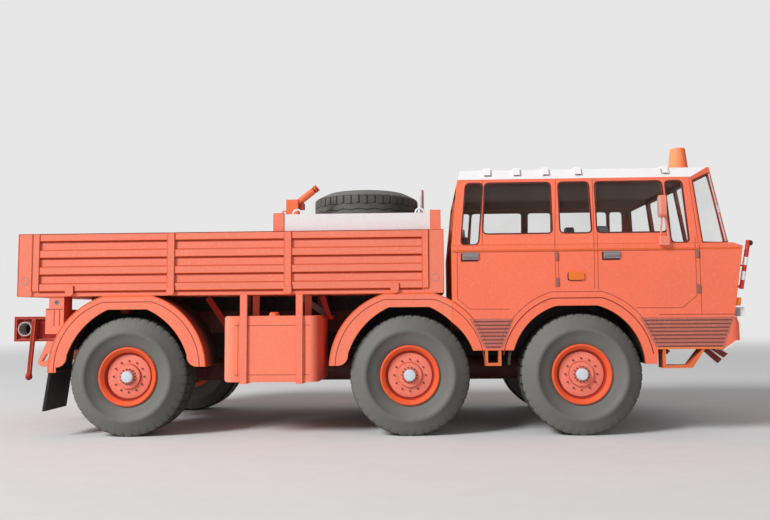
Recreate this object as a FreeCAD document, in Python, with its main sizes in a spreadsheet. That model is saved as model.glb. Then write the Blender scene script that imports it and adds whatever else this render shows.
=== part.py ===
import FreeCAD, Part
import Sketcher
import os

doc = FreeCAD.newDocument("model_truck")
sheet = doc.addObject("Spreadsheet::Sheet", "sizes")
parts = {}


class Size:
    """A length with its value now and the formula that keeps it up to date."""

    def __init__(self, value, formula):
        self.value = value
        self.formula = formula

    def __add__(self, other):
        return joined(self, "+", other, self.value + amount(other))

    def __radd__(self, other):
        return joined(other, "+", self, amount(other) + self.value)

    def __sub__(self, other):
        return joined(self, "-", other, self.value - amount(other))

    def __rsub__(self, other):
        return joined(other, "-", self, amount(other) - self.value)

    def __mul__(self, other):
        return joined(self, "*", other, self.value * amount(other))

    def __rmul__(self, other):
        return joined(other, "*", self, amount(other) * self.value)

    def __truediv__(self, other):
        return joined(self, "/", other, self.value / amount(other))

    def __neg__(self):
        return Size(-self.value, f"(0 - {self.formula})")


def amount(size):
    """The number in a size, or a plain number as it is."""
    return size.value if isinstance(size, Size) else float(size)


def words(size):
    """The formula of a size, or of a plain number."""
    return size.formula if isinstance(size, Size) else repr(size)


def joined(first, sign, second, value):
    """The size that two others make."""
    return Size(value, f"({words(first)} {sign} {words(second)})")


def cell(alias, value):
    """A driving dimension: one cell of the sheet, with its alias."""
    row = len(sheet.getUsedCells()) + 1
    sheet.set(f"A{row}", str(value))
    sheet.setAlias(f"A{row}", alias)
    return Size(float(value), f"sizes.{alias}")


def named(alias, size):
    """A size worked out from others: one formula cell of the sheet, with its alias."""
    row = len(sheet.getUsedCells()) + 1
    sheet.set(f"A{row}", "=" + words(size).replace("sizes.", ""))
    sheet.setAlias(f"A{row}", alias)
    return Size(amount(size), f"sizes.{alias}")


def bind(thing, path, size):
    """Ties one property of an object to a size."""
    thing.setExpression(path, words(size))


def keep(label, thing):
    """Takes an object as a finished sub-part with its own label."""
    thing.Label = label
    parts[label] = thing
    return thing


def move(thing, x=0, y=0, z=0):
    """Puts an object at a place given by sizes."""
    for axis, size in (("x", x), ("y", y), ("z", z)):
        bind(thing, f"Placement.Base.{axis}", size)
    return thing


def along(start, end, share):
    """The place at a share of the way between two sizes."""
    return start + (end - start) * share


def block(name, x, y, z):
    """A straight-sided block between two sizes along each axis."""
    box = doc.addObject("Part::Box", name)
    for side, axis, (low, high) in (("Length", "x", x), ("Width", "y", y), ("Height", "z", z)):
        bind(box, side, high - low)
        bind(box, f"Placement.Base.{axis}", low)
    return box


TURNS = {
    "x": FreeCAD.Rotation(FreeCAD.Vector(0, 1, 0), 90),
    "y": FreeCAD.Rotation(FreeCAD.Vector(1, 0, 0), -90),
    "z": FreeCAD.Rotation(),
}
BALL_LATITUDE = 78


def bar(name, axis, radius, start, length):
    """A round bar along one axis from its start point."""
    cylinder = doc.addObject("Part::Cylinder", name)
    cylinder.Placement.Rotation = TURNS[axis]
    bind(cylinder, "Radius", radius)
    bind(cylinder, "Height", length)
    return move(cylinder, *start)


def ball(name, radius, x, y, z):
    """A small ball, a little flat at its top and bottom."""
    sphere = doc.addObject("Part::Sphere", name)
    sphere.Angle1 = -BALL_LATITUDE
    sphere.Angle2 = BALL_LATITUDE
    bind(sphere, "Radius", radius)
    return move(sphere, x, y, z)


def join(name, *pieces):
    """One solid from pieces that touch."""
    fusion = doc.addObject("Part::MultiFuse", name)
    fusion.Shapes = list(pieces)
    return fusion


def group(name, *pieces):
    """Like pieces that don't touch, kept in one sub-part."""
    compound = doc.addObject("Part::Compound", name)
    compound.Links = list(pieces)
    return compound


def cut(name, base, tool):
    """What is left of one shape after another is taken away."""
    result = doc.addObject("Part::Cut", name)
    result.Base = base
    result.Tool = tool
    return result


def shared(name, first, second):
    """The space that two shapes share."""
    result = doc.addObject("Part::Common", name)
    result.Base = first
    result.Tool = second
    return result


def mirrored(name, source):
    """The left-hand twin of a right-hand piece."""
    twin = doc.addObject("Part::Mirroring", name)
    twin.Source = source
    twin.Normal = FreeCAD.Vector(0, 1, 0)
    return twin


def pair(name, source):
    """A right-hand piece and its left-hand twin in one sub-part."""
    return group(name, source, mirrored(name + "_twin", source))


def body_plane(body, plane):
    """One of a body's own origin planes."""
    return next(item for item in body.Origin.OriginFeatures if item.Role == plane)


def draw(body, plane, level, loops):
    """A sketch of closed loops on one of the body's planes. A corner is (across, up); one that
    is reached along an arc also gives a point on that arc."""
    sketch = body.newObject("Sketcher::SketchObject", body.Name + "_outline")
    sketch.AttachmentSupport = [(body_plane(body, plane), "")]
    sketch.MapMode = "FlatFace"
    bind(sketch, "AttachmentOffset.Base.z", level)
    for loop in loops:
        ends = []
        for index, corner in enumerate(loop):
            after = loop[(index + 1) % len(loop)]
            start = FreeCAD.Vector(amount(corner[0]), amount(corner[1]), 0)
            end = FreeCAD.Vector(amount(after[0]), amount(after[1]), 0)
            if len(after) == 2:
                edge = sketch.addGeometry(Part.LineSegment(start, end), False)
                ends.append((edge, 1, 2))
            else:
                through = FreeCAD.Vector(amount(after[2]), amount(after[3]), 0)
                edge = sketch.addGeometry(Part.Arc(start, through, end), False)
                turn = (through - start).cross(end - through).z
                ends.append((edge, 1, 2) if turn > 0 else (edge, 2, 1))
                guide = sketch.addGeometry(Part.Point(through), True)
                pin(sketch, guide, 1, after[2], after[3])
                sketch.addConstraint(Sketcher.Constraint("PointOnObject", guide, 1, edge))
        for index, corner in enumerate(loop):
            edge, first, last = ends[index]
            before, _, previous = ends[index - 1]
            sketch.addConstraint(Sketcher.Constraint("Coincident", before, previous, edge, first))
            pin(sketch, edge, first, corner[0], corner[1])
    return sketch


def pin(sketch, edge, point, across, up):
    """Holds one point of a sketch at two sizes."""
    for kind, size in (("DistanceX", across), ("DistanceY", up)):
        place = amount(size)
        index = sketch.addConstraint(Sketcher.Constraint(kind, -1, 1, edge, point, place))
        if isinstance(size, Size):
            bind(sketch, f"Constraints[{index}]", size)


def plate(name, plane, level, thickness, *loops):
    """A flat piece: an outline, with any windows, padded to a thickness."""
    body = doc.addObject("PartDesign::Body", name)
    outline = draw(body, plane, level, loops)
    pad = body.newObject("PartDesign::Pad", name + "_pad")
    pad.Profile = outline
    bind(pad, "Length", thickness)
    outline.Visibility = False
    return body


def turned(name, plane, axis, loop):
    """A round piece: an outline turned about one axis of its sketch."""
    body = doc.addObject("PartDesign::Body", name)
    outline = draw(body, plane, 0, [loop])
    turn = body.newObject("PartDesign::Revolution", name + "_turn")
    turn.Profile = outline
    turn.ReferenceAxis = (outline, [axis])
    turn.Angle = 360
    return body


def loft(name, low, low_outline, high, high_outline):
    """A solid between two flat outlines, one above the other."""
    body = doc.addObject("PartDesign::Body", name)
    lower = draw(body, "XY_Plane", low, [low_outline])
    upper = draw(body, "XY_Plane", high, [high_outline])
    solid = body.newObject("PartDesign::AdditiveLoft", name + "_loft")
    solid.Profile = lower
    solid.Sections = [upper]
    solid.Ruled = True
    return body


# Overall sizes. X runs forward, Y to the left and Z up, from the floor under the middle.
width = cell("width", 78.1)
card = cell("card", 0.8)
film = cell("film", 0.25)
seam = cell("seam", 0.2)
front_spacing = cell("front_spacing", 51.6)
rear_spacing = cell("rear_spacing", 86.4)
tail_overhang = cell("tail_overhang", 51.6)
nose_overhang = cell("nose_overhang", 48.5)
bed_overhang = cell("bed_overhang", 34.6)
bed_lead = cell("bed_lead", 10.7)
cab_gap = cell("cab_gap", 2.3)
rod_lead = cell("rod_lead", 2.8)
rod_ball = cell("rod_ball", 0.95)

half = named("half_width", width / 2)
tail_reach = rear_spacing + tail_overhang
nose_reach = front_spacing + nose_overhang + rod_lead + rod_ball
middle_x = named("middle_axle_x", (tail_reach - nose_reach) / 2)
front_x = named("front_axle_x", middle_x + front_spacing)
rear_x = named("rear_axle_x", middle_x - rear_spacing)
coupling_end = named("tail_end", rear_x - tail_overhang)
bed_rear = named("bed_rear", rear_x - bed_overhang)
bed_front = named("bed_front", middle_x + bed_lead)
cab_rear = named("cab_rear", bed_front + cab_gap)
cab_front = named("cab_front", front_x + nose_overhang)
axles = {"front": front_x, "middle": middle_x, "rear": rear_x}

# Tyres of layered card: a flat wall, dished in to the rim, and a rounded shoulder.
tyre_diameter = cell("tyre_diameter", 36.5)
tyre_width = cell("tyre_width", 14.2)
tread_width = cell("tread_width", 9.6)
shoulder_drop = cell("shoulder_drop", 2.1)
bead_width = cell("bead_width", 10.8)
rim_diameter = cell("rim_diameter", 18.4)
rim_seat_depth = cell("rim_seat_depth", 0.4)
dish_share = 0.45
dish_depth_share = 0.38
dish_bend_share = 0.6
shoulder_bend_share = 0.72
round_share = 0.293

tyre_outer = tyre_diameter / 2
tyre_half = tyre_width / 2
rim_outer = rim_diameter / 2
rim_seat = rim_outer - rim_seat_depth
dish_radius = along(rim_outer, tyre_outer, dish_share)
wheel_plane = named("wheel_plane", half - tyre_half)
axle_height = named("axle_height", tyre_outer)


def tyre(name):
    """A tyre about the Y axis, its mid-plane at zero."""
    crown = tread_width / 2
    bead = bead_width / 2
    shoulder_radius = tyre_outer - shoulder_drop
    corner_across = along(crown, tyre_half, shoulder_bend_share)
    corner_up = along(shoulder_radius, tyre_outer, shoulder_bend_share)
    dish_across = along(bead, tyre_half, dish_depth_share)
    dish_up = along(rim_outer, dish_radius, dish_bend_share)
    return turned(name, "YZ_Plane", "H_Axis", [
        (-bead, rim_seat),
        (bead, rim_seat),
        (bead, rim_outer),
        (tyre_half, dish_radius, dish_across, dish_up),
        (tyre_half, shoulder_radius),
        (crown, tyre_outer, corner_across, corner_up),
        (-crown, tyre_outer),
        (-tyre_half, shoulder_radius, -corner_across, corner_up),
        (-tyre_half, dish_radius),
        (-bead, rim_outer, -dish_across, dish_up),
    ])


# Heights, each from the one below it.
tyre_clearance = cell("tyre_clearance", 2.3)
arch_clearance = cell("arch_clearance", 1.95)
arch_band = cell("arch_band", 4.2)
arch_foot_rise = cell("arch_foot_rise", 3.05)
bearer_depth = cell("bearer_depth", 5.0)
rail_depth = cell("rail_depth", 7.0)
sill_rise = cell("sill_rise", 4.3)
floor_card = cell("floor_card", 0.8)
belt_rise = cell("belt_rise", 16.9)
glass_rise = cell("glass_rise", 20.6)
roof_rise = cell("roof_rise", 3.4)

arch_inner_top = named("arch_inner_top", tyre_diameter + tyre_clearance)
arch_inner_reach = named("arch_inner_reach", tyre_outer + arch_clearance)
arch_end = named("arch_end", axle_height + arch_foot_rise)
bed_bottom = named("bed_bottom", arch_inner_top + arch_band)
rail_top = named("rail_top", bed_bottom - bearer_depth)
rail_bottom = named("rail_bottom", rail_top - rail_depth)
sill_bottom = named("sill_bottom", arch_end + sill_rise)
floor_level = named("floor_level", arch_inner_top + card)
cabin_floor = named("cabin_floor", floor_level + floor_card)
belt = named("belt", cabin_floor + belt_rise)
gutter = named("gutter", belt + glass_rise)
roof_top = named("roof_top", gutter + roof_rise)


# Wheel discs: a rounded rim ring, a groove inside it, a flat face and a stepped hub.
lip_width = cell("lip_width", 0.9)
lip_ring = cell("lip_ring", 1.5)
barrel_wall = cell("barrel_wall", 1.2)
groove_depth = cell("groove_depth", 2.9)
groove_width = cell("groove_width", 0.9)
disc_depth = cell("disc_depth", 1.7)
disc_thickness = cell("disc_thickness", 1.0)
disc_edge = cell("disc_edge", 0.3)
hub_step_radius = cell("hub_step_radius", 4.2)
hub_step_height = cell("hub_step_height", 0.9)
cap_radius = cell("cap_radius", 1.9)
cap_height = cell("cap_height", 1.2)
cap_edge = cell("cap_edge", 0.3)
hub_radius = cell("hub_radius", 3.0)
hub_back = cell("hub_back", 3.0)
pin_radius = cell("pin_radius", 1.5)
running_fit = cell("running_fit", 0.05)
pin_reach = cell("pin_reach", 3.0)
lip_edge_share = 0.6


def wheel_disc(name):
    """A wheel disc with its rim and hub about the Y axis; outward is plus."""
    bead = bead_width / 2
    lip_face = bead + lip_width
    lip_inside = rim_outer - lip_ring
    lip_edge = along(bead, lip_face, lip_edge_share)
    groove_floor = lip_face - groove_depth
    disc_face = lip_face - disc_depth
    hub_face = disc_face + hub_step_height
    cap_face = hub_face + cap_height
    barrel_inside = rim_seat - barrel_wall
    groove_inside = barrel_inside - groove_width
    bore = pin_radius + running_fit
    blind_end = pin_reach + running_fit
    return turned(name, "YZ_Plane", "H_Axis", [
        (-hub_back, bore),
        (-hub_back, hub_radius),
        (groove_floor - disc_thickness, hub_radius),
        (groove_floor - disc_thickness, barrel_inside),
        (-lip_face, barrel_inside),
        (-lip_face, rim_outer),
        (-bead, rim_outer),
        (-bead, rim_seat),
        (bead, rim_seat),
        (bead, rim_outer),
        (lip_edge, rim_outer),
        (lip_edge, lip_inside, lip_face, (rim_outer + lip_inside) / 2),
        (groove_floor, barrel_inside),
        (groove_floor, groove_inside),
        (disc_face - disc_edge, groove_inside),
        (disc_face, groove_inside - disc_edge),
        (disc_face, hub_step_radius + disc_edge),
        (hub_face - disc_edge, hub_step_radius),
        (hub_face, hub_step_radius - disc_edge),
        (hub_face, cap_radius),
        (cap_face - cap_edge, cap_radius),
        (cap_face, cap_radius - cap_edge),
        (cap_face, 0),
        (blind_end, 0),
        (blind_end, bore),
    ])


for end, axle_x in axles.items():
    for side, facing in (("right", 180), ("left", 0)):
        wheel_y = -wheel_plane if side == "right" else wheel_plane
        for kind, make in (("tyre", tyre), ("wheel", wheel_disc)):
            label = f"{end}_{side}_{kind}"
            piece = keep(label, make(label))
            piece.Placement.Rotation = FreeCAD.Rotation(FreeCAD.Vector(0, 0, 1), facing)
            move(piece, axle_x, wheel_y, axle_height)

# Axles: half shafts out of a final drive on the backbone, a drum and a pin at each end,
# and a saddle that carries the frame rails.
shaft_radius = cell("shaft_radius", 2.3)
drum_radius = cell("drum_radius", 6.2)
drum_width = cell("drum_width", 4.8)
drive_radius = cell("drive_radius", 6.6)
drive_length = cell("drive_length", 15.0)
drive_nose = cell("drive_nose", 3.0)
saddle_length = cell("saddle_length", 7.0)
rail_spread = cell("rail_spread", 26.0)
rail_width = cell("rail_width", 2.2)
backbone_radius = cell("backbone_radius", 4.4)
backbone_tail = cell("backbone_tail", 14.0)
backbone_nose = cell("backbone_nose", 22.0)
kingpin_radius = cell("kingpin_radius", 1.7)
kingpin_height = cell("kingpin_height", 13.0)
track_rod_radius = cell("track_rod_radius", 0.7)
track_rod_setback = cell("track_rod_setback", 6.5)
drum_gap = cell("drum_gap", 0.2)
saddle_sink_share = 0.6
kingpin_share = 0.6

rail_half = rail_spread / 2
drum_outer = wheel_plane - hub_back - drum_gap
drum_inner = drum_outer - drum_width
pin_end = wheel_plane + pin_reach


def axle(end, x):
    """One axle about its own line across the truck."""
    shafts = turned(end + "_shafts", "YZ_Plane", "H_Axis", [
        (-pin_end, 0),
        (pin_end, 0),
        (pin_end, pin_radius),
        (drum_outer, pin_radius),
        (drum_outer, drum_radius - card),
        (drum_outer - card, drum_radius),
        (drum_inner, drum_radius),
        (drum_inner, shaft_radius),
        (-drum_inner, shaft_radius),
        (-drum_inner, drum_radius),
        (card - drum_outer, drum_radius),
        (-drum_outer, drum_radius - card),
        (-drum_outer, pin_radius),
        (-pin_end, pin_radius),
    ])
    drive_half = drive_length / 2
    drive = turned(end + "_drive", "XZ_Plane", "H_Axis", [
        (-drive_half, 0),
        (drive_half, 0),
        (drive_half, backbone_radius + card),
        (drive_half - drive_nose, drive_radius),
        (drive_nose - drive_half, drive_radius),
        (-drive_half, backbone_radius + card),
    ])
    tunnel = bar(end + "_tunnel", "x", backbone_radius, (-drive_half, 0, 0), drive_length)
    saddle = block(end + "_saddle", (-saddle_length / 2, saddle_length / 2),
                   (-rail_half, rail_half), (drive_radius * saddle_sink_share, rail_bottom - axle_height))
    pieces = [cut(end + "_case", join(end + "_solid", shafts, drive, saddle), tunnel)]
    if end == "front":
        knuckle_y = drum_inner - kingpin_radius * kingpin_share
        rod_level = -backbone_radius - track_rod_radius * 2
        for side, y in (("right", -knuckle_y), ("left", knuckle_y)):
            pieces.append(bar(f"kingpin_{side}", "z", kingpin_radius,
                              (0, y, -kingpin_height / 2), kingpin_height))
            pieces.append(block(f"steering_arm_{side}", (-track_rod_setback, 0),
                                (y - track_rod_radius, y + track_rod_radius),
                                (rod_level - track_rod_radius, rod_level + track_rod_radius)))
        pieces.append(bar("track_rod", "y", track_rod_radius,
                          (-track_rod_setback, -knuckle_y - track_rod_radius, rod_level),
                          (knuckle_y + track_rod_radius) * 2))
    whole = join(end + "_axle_whole", *pieces) if len(pieces) > 1 else pieces[0]
    return move(keep(end + "_axle", whole), x, 0, axle_height)


for end, axle_x in axles.items():
    axle(end, axle_x)

# The backbone tube runs through the three final drives.
backbone_start = rear_x - backbone_tail
backbone = bar("backbone_tube", "x", backbone_radius, (backbone_start, 0, axle_height),
               front_x + backbone_nose - backbone_start)
keep("backbone_tube", backbone)

# Bed: a floor with bearers under it, drop sides with pressed ribs, posts and end walls.
bed_floor_thickness = cell("bed_floor_thickness", 1.6)
bed_depth = cell("bed_depth", 19.4)
bed_edge_inset = cell("bed_edge_inset", 0.5)
side_thickness = cell("side_thickness", 1.0)
rib_height = cell("rib_height", 0.5)
rib_width = cell("rib_width", 2.3)
rib_count = 4
post_width = cell("post_width", 4.6)
post_depth = cell("post_depth", 2.6)
end_rail_width = cell("end_rail_width", 2.1)
stake_width = cell("stake_width", 2.3)
wall_width = cell("wall_width", 3.3)
headboard_setback = cell("headboard_setback", 0.8)
headboard_rise = cell("headboard_rise", 6.3)
ballast_wall_behind = cell("ballast_wall_behind", 42.0)
ballast_wall_rise = cell("ballast_wall_rise", 5.9)
bearer_width = cell("bearer_width", 3.0)
deck_thickness = cell("deck_thickness", 0.4)
deck_gap = cell("deck_gap", 0.3)

bed_length = bed_front - bed_rear
bed_top = named("bed_top", bed_bottom + bed_depth)
headboard_top = named("headboard_top", bed_top + headboard_rise)
ballast_wall_top = named("ballast_wall_top", bed_top + ballast_wall_rise)
floor_top = named("floor_top", bed_bottom + bed_floor_thickness)
floor_half = half - bed_edge_inset
side_outer = half - rib_height
side_inner = side_outer - side_thickness
side_height = bed_top - floor_top
rib_step = (side_height - rib_width) / (rib_count - 1)

ballast_wall_rear = named("ballast_wall_rear", middle_x - ballast_wall_behind)
gate_half = half - post_depth
gate_outer = bed_rear + rib_height
deck_rear = gate_outer + side_thickness + deck_gap
deck_half = gate_half - deck_gap
bed_floor = block("floor_board", (bed_rear, bed_front), (-floor_half, floor_half),
                  (bed_bottom, floor_top))
deck = block("deck_sheet", (deck_rear, ballast_wall_rear - deck_gap), (-deck_half, deck_half),
             (floor_top, floor_top + deck_thickness))
keep("bed_floor", join("bed_floor_solid", bed_floor, deck))

side_rear = bed_rear + post_width
side_front = bed_front - post_width
stake_shares = (0.353, 0.648)
stake_centres = [side_rear + (side_front - side_rear) * share for share in stake_shares]
stake_places = [
    (side_rear, side_rear + end_rail_width),
    *[(centre - stake_width / 2, centre + stake_width / 2) for centre in stake_centres],
    (side_front - end_rail_width, side_front),
]
board = block("side_board", (side_rear, side_front), (-side_outer, -side_inner),
              (floor_top, bed_top))
rails = [block(f"side_upright_{number}", place, (-half, -side_outer), (floor_top, bed_top))
         for number, place in enumerate(stake_places)]
rails += [block(f"stake_foot_{number}", place, (-half, -floor_half), (bed_bottom, floor_top))
          for number, place in enumerate(stake_places[1:-1])]
ribs = []
for bay in range(len(stake_places) - 1):
    between = (stake_places[bay][1], stake_places[bay + 1][0])
    for row in range(rib_count):
        low = floor_top + rib_step * row
        ribs.append(block(f"side_rib_{bay}_{row}", between, (-half, -side_outer),
                          (low, low + rib_width)))
bed_side = keep("bed_side_right", join("bed_side_solid", board, *rails, *ribs))
keep("bed_side_left", mirrored("bed_side_twin", bed_side))

# The tailgate is pressed the same way, across the rear end.
gate_rails = [
    (-gate_half, end_rail_width - gate_half),
    (-stake_width / 2, stake_width / 2),
    (gate_half - end_rail_width, gate_half),
]
gate_pieces = [block("gate_board", (gate_outer, gate_outer + side_thickness),
                     (-gate_half, gate_half), (floor_top, bed_top))]
for number, place in enumerate(gate_rails):
    gate_pieces.append(block(f"gate_upright_{number}", (bed_rear, gate_outer), place,
                             (floor_top, bed_top)))
for bay in range(len(gate_rails) - 1):
    between = (gate_rails[bay][1], gate_rails[bay + 1][0])
    for row in range(rib_count):
        low = floor_top + rib_step * row
        gate_pieces.append(block(f"gate_rib_{bay}_{row}", (bed_rear, gate_outer), between,
                                 (low, low + rib_width)))
keep("tailgate", join("tailgate_solid", *gate_pieces))

posts = []
for end, place in (("rear", (bed_rear, side_rear)), ("front", (side_front, bed_front))):
    post = block(f"post_{end}", place, (-half, -gate_half), (floor_top, bed_top))
    foot = block(f"post_foot_{end}", place, (-half, -floor_half), (bed_bottom, floor_top))
    posts.append(join(f"post_{end}_whole", post, foot))
keep("bed_posts", pair("bed_posts_all", group("bed_posts_right", *posts)))

headboard_front = bed_front - headboard_setback
headboard_rear = headboard_front - wall_width
ballast_rear = ballast_wall_rear + wall_width
keep("headboard", block("headboard_wall", (headboard_rear, headboard_front),
                        (-gate_half, gate_half), (floor_top, headboard_top)))
keep("ballast_wall", block("ballast_wall_solid", (ballast_wall_rear, ballast_rear),
                           (-gate_half, gate_half), (floor_top, ballast_wall_top)))

# Ballast block with a round well for the spare wheel, and four lifting rings on top.
ballast_drop = cell("ballast_drop", 0.4)
ballast_gap = cell("ballast_gap", 0.3)
well_depth = cell("well_depth", 3.4)
well_gap = cell("well_gap", 0.5)
spare_share = 0.505
ring_radius = cell("ring_radius", 1.2)
ring_wire = cell("ring_wire", 0.35)
ring_inset = cell("ring_inset", 7.5)
ring_end_inset = cell("ring_end_inset", 2.9)
ring_stand_share = 0.8

ballast_top = named("ballast_top", ballast_wall_top - ballast_drop)
ballast_half = gate_half - ballast_gap
spare_x = named("spare_x", ballast_rear + (headboard_rear - ballast_rear) * spare_share)
well_floor = ballast_top - well_depth
ballast_body = block("ballast_solid", (ballast_rear, headboard_rear),
                     (-ballast_half, ballast_half), (floor_top, ballast_top))
well = bar("spare_well", "z", tyre_outer + well_gap, (spare_x, 0, well_floor), well_depth * 2)
keep("ballast_block", cut("ballast_hollowed", ballast_body, well))

rings = []
for number, x in enumerate((ballast_rear + ring_end_inset, headboard_rear - ring_end_inset)):
    ring = doc.addObject("Part::Torus", f"ring_{number}")
    ring.Placement.Rotation = FreeCAD.Rotation(FreeCAD.Vector(1, 0, 0), 90)
    bind(ring, "Radius1", ring_radius)
    bind(ring, "Radius2", ring_wire)
    move(ring, x, ring_inset - ballast_half, ballast_top + ring_radius * ring_stand_share)
    ground = block(f"ring_ground_{number}", (x - ring_radius * 2, x + ring_radius * 2),
                   (-ballast_half, ballast_half), (floor_top, ballast_top))
    rings.append(cut(f"ring_cut_{number}", ring, ground))
keep("lifting_rings", pair("lifting_rings_all", group("lifting_rings_right", *rings)))

# Spare wheel, lying flat in the well with its outer face up.
for label, make in (("spare_tyre", tyre), ("spare_wheel", wheel_disc)):
    spare = keep(label, make(label))
    spare.Placement.Rotation = FreeCAD.Rotation(FreeCAD.Vector(1, 0, 0), 90)
    move(spare, spare_x, 0, well_floor + tyre_half + seam)

# Winch arm for the spare wheel, on the ballast wall.
winch_y = cell("winch_y", 20.0)
winch_block_width = cell("winch_block_width", 4.0)
winch_height = cell("winch_height", 6.4)
winch_tube = cell("winch_tube", 2.2)
winch_length = cell("winch_length", 10.4)
winch_wall = cell("winch_wall", 0.4)
winch_bracket = cell("winch_bracket", 1.8)
stop_setback = cell("stop_setback", 3.4)
stop_width = cell("stop_width", 9.0)
stop_height = cell("stop_height", 12.8)
stop_thickness = cell("stop_thickness", 1.4)
stop_square_share = 0.8
winch_tilt = 38
bracket_share = 0.6

winch_x = ballast_rear
winch_base = block("winch_foot", (winch_x - winch_block_width / 2, winch_x + winch_block_width / 2),
                   (-winch_y - winch_block_width / 2, winch_block_width / 2 - winch_y),
                   (ballast_wall_top, ballast_wall_top + winch_height))
arm_bore = winch_tube - winch_wall * 2
arm_tube = block("winch_arm_tube", (0, winch_length), (-winch_tube / 2, winch_tube / 2),
                 (-winch_tube / 2, winch_tube / 2))
arm_mouth = block("winch_arm_mouth", (winch_length - winch_tube * 2, winch_length + winch_tube),
                  (-arm_bore / 2, arm_bore / 2), (-arm_bore / 2, arm_bore / 2))
arm = cut("winch_arm", arm_tube, arm_mouth)
arm.Placement.Rotation = FreeCAD.Rotation(FreeCAD.Vector(0, 1, 0), -winch_tilt)
winch_top = ballast_wall_top + winch_height
move(arm, winch_x, -winch_y, winch_top - winch_tube)
bracket = block("winch_bracket_block", (winch_x, winch_x + winch_block_width / 2 + winch_bracket),
                (-winch_y - winch_tube / 2, winch_tube / 2 - winch_y),
                (ballast_wall_top + winch_height / 2, winch_top - winch_tube * bracket_share))
keep("spare_winch", join("spare_winch_solid", winch_base, bracket, arm))

# Upright stop in front of the spare wheel.
stop_x = headboard_rear - stop_setback
stop_square_top = ballast_top + stop_height * stop_square_share
keep("spare_stop", plate("spare_stop_plate", "YZ_Plane", stop_x, stop_thickness, [
    (-stop_width / 2, ballast_top),
    (stop_width / 2, ballast_top),
    (stop_width / 2, stop_square_top),
    (-stop_width / 2, stop_square_top, 0, ballast_top + stop_height),
]))

# Mudguards: an arched skin with a flat band on its outer side.
arch_flat = cell("arch_flat", 12.2)
arch_outer_flat = cell("arch_outer_flat", 15.0)
arch_foot_round = cell("arch_foot_round", 3.5)
arch_foot_flare = cell("arch_foot_flare", 1.6)
mudguard_clearance = cell("mudguard_clearance", 0.6)
rear_foot_drop = cell("rear_foot_drop", 1.6)
house_gap = cell("house_gap", 1.5)
mudguard_width = named("mudguard_width", tyre_width + mudguard_clearance)
house_bottom = axle_height + drum_radius + house_gap
opening_bend_share = 0.6
opening_rise_share = 0.615
flare_bend_share = 0.55
flare_rise_share = 0.28
band_bend_share = 0.677
band_rise_share = 0.655


def arch_opening(name, x, level, depth, drop=None):
    """The wheel opening: flat on top, curved down both sides, with a rounded foot; a drop runs
    it on below."""
    flat = arch_flat / 2
    foot = arch_inner_reach - arch_foot_flare
    foot_z = arch_end + arch_foot_round
    rise = arch_inner_top - foot_z
    bend_across = along(flat, foot, opening_bend_share)
    bend_up = foot_z + rise * opening_rise_share
    flare = arch_inner_reach + arch_foot_flare
    flare_across = foot + arch_foot_flare * flare_bend_share
    flare_up = arch_end + arch_foot_round * flare_rise_share
    outline = [
        (x + flat, arch_inner_top, x + bend_across, bend_up),
        (x - flat, arch_inner_top),
        (x - foot, foot_z, x - bend_across, bend_up),
        (x - flare, arch_end, x - flare_across, flare_up),
        (x + flare, arch_end),
        (x + foot, foot_z, x + flare_across, flare_up),
    ]
    if drop is not None:
        outline[4:4] = [(x - flare, arch_end - drop * 2), (x + flare, arch_end - drop * 2)]
    return plate(name, "XZ_Plane", level, depth, outline)


def arch_rise(name, x, inset, level, depth, drop=None):
    """The outline of a mudguard's outer edge, drawn in by an inset; a drop lets its feet down."""
    flat = arch_outer_flat / 2
    reach = arch_inner_reach + arch_band - inset
    top = arch_inner_top + arch_band - inset
    bend_across = along(flat, reach, band_bend_share)
    bend_up = along(arch_end, top, band_rise_share)
    outline = [
        (x + flat, top, x + bend_across, bend_up),
        (x - flat, top),
        (x - reach, arch_end, x - bend_across, bend_up),
        (x + reach, arch_end),
    ]
    if drop is not None:
        outline[3:3] = [(x - reach, arch_end - drop), (x + reach, arch_end - drop)]
    return plate(name, "XZ_Plane", level, depth, outline)


def wheelhouse_wall(name, x, inset):
    """The wall on the inner side of a wheel, from over the axle up to the arch."""
    inner_y = half - mudguard_width
    sheet = arch_rise(name + "_sheet", x, inset, inner_y - card, card)
    above = block(name + "_above", (x - arch_inner_reach * 2, x + arch_inner_reach * 2),
                  (-inner_y, card - inner_y), (house_bottom, bed_bottom))
    return shared(name, sheet, above)


def mudguard(name, x, drop=None):
    """A mudguard: a band on the outside, a thin skin over the wheel and a wall inside it. A
    drop lets its rear foot down."""
    inner_y = half - mudguard_width
    outer = arch_rise(name + "_outer", x, 0, inner_y, mudguard_width, drop)
    under = arch_rise(name + "_under", x, card, inner_y, mudguard_width - card, drop)
    opening = arch_opening(name + "_opening", x, inner_y, mudguard_width, drop)
    shell = cut(name + "_hollow", cut(name + "_shell", outer, under), opening)
    if drop is not None:
        shell = cut(name + "_shell_trimmed", shell, block(
            name + "_front_foot", (x, x + arch_inner_reach * 2), (-half, -inner_y),
            (arch_end - drop * 2, arch_end)))
    return join(name, shell, wheelhouse_wall(name + "_wall", x, 0))


rear_guard = keep("rear_mudguard_right", mudguard("rear_guard", rear_x, rear_foot_drop))
keep("rear_mudguard_left", mirrored("rear_guard_twin", rear_guard))
cab_clearance = block("cab_clearance", (cab_rear, cab_rear + arch_inner_reach * 2),
                      (-half, -rail_half), (0, bed_bottom + arch_band))
middle_guard = keep("middle_mudguard_right",
                    cut("middle_guard", mudguard("middle_guard_whole", middle_x), cab_clearance))
keep("middle_mudguard_left", mirrored("middle_guard_twin", middle_guard))

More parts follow.
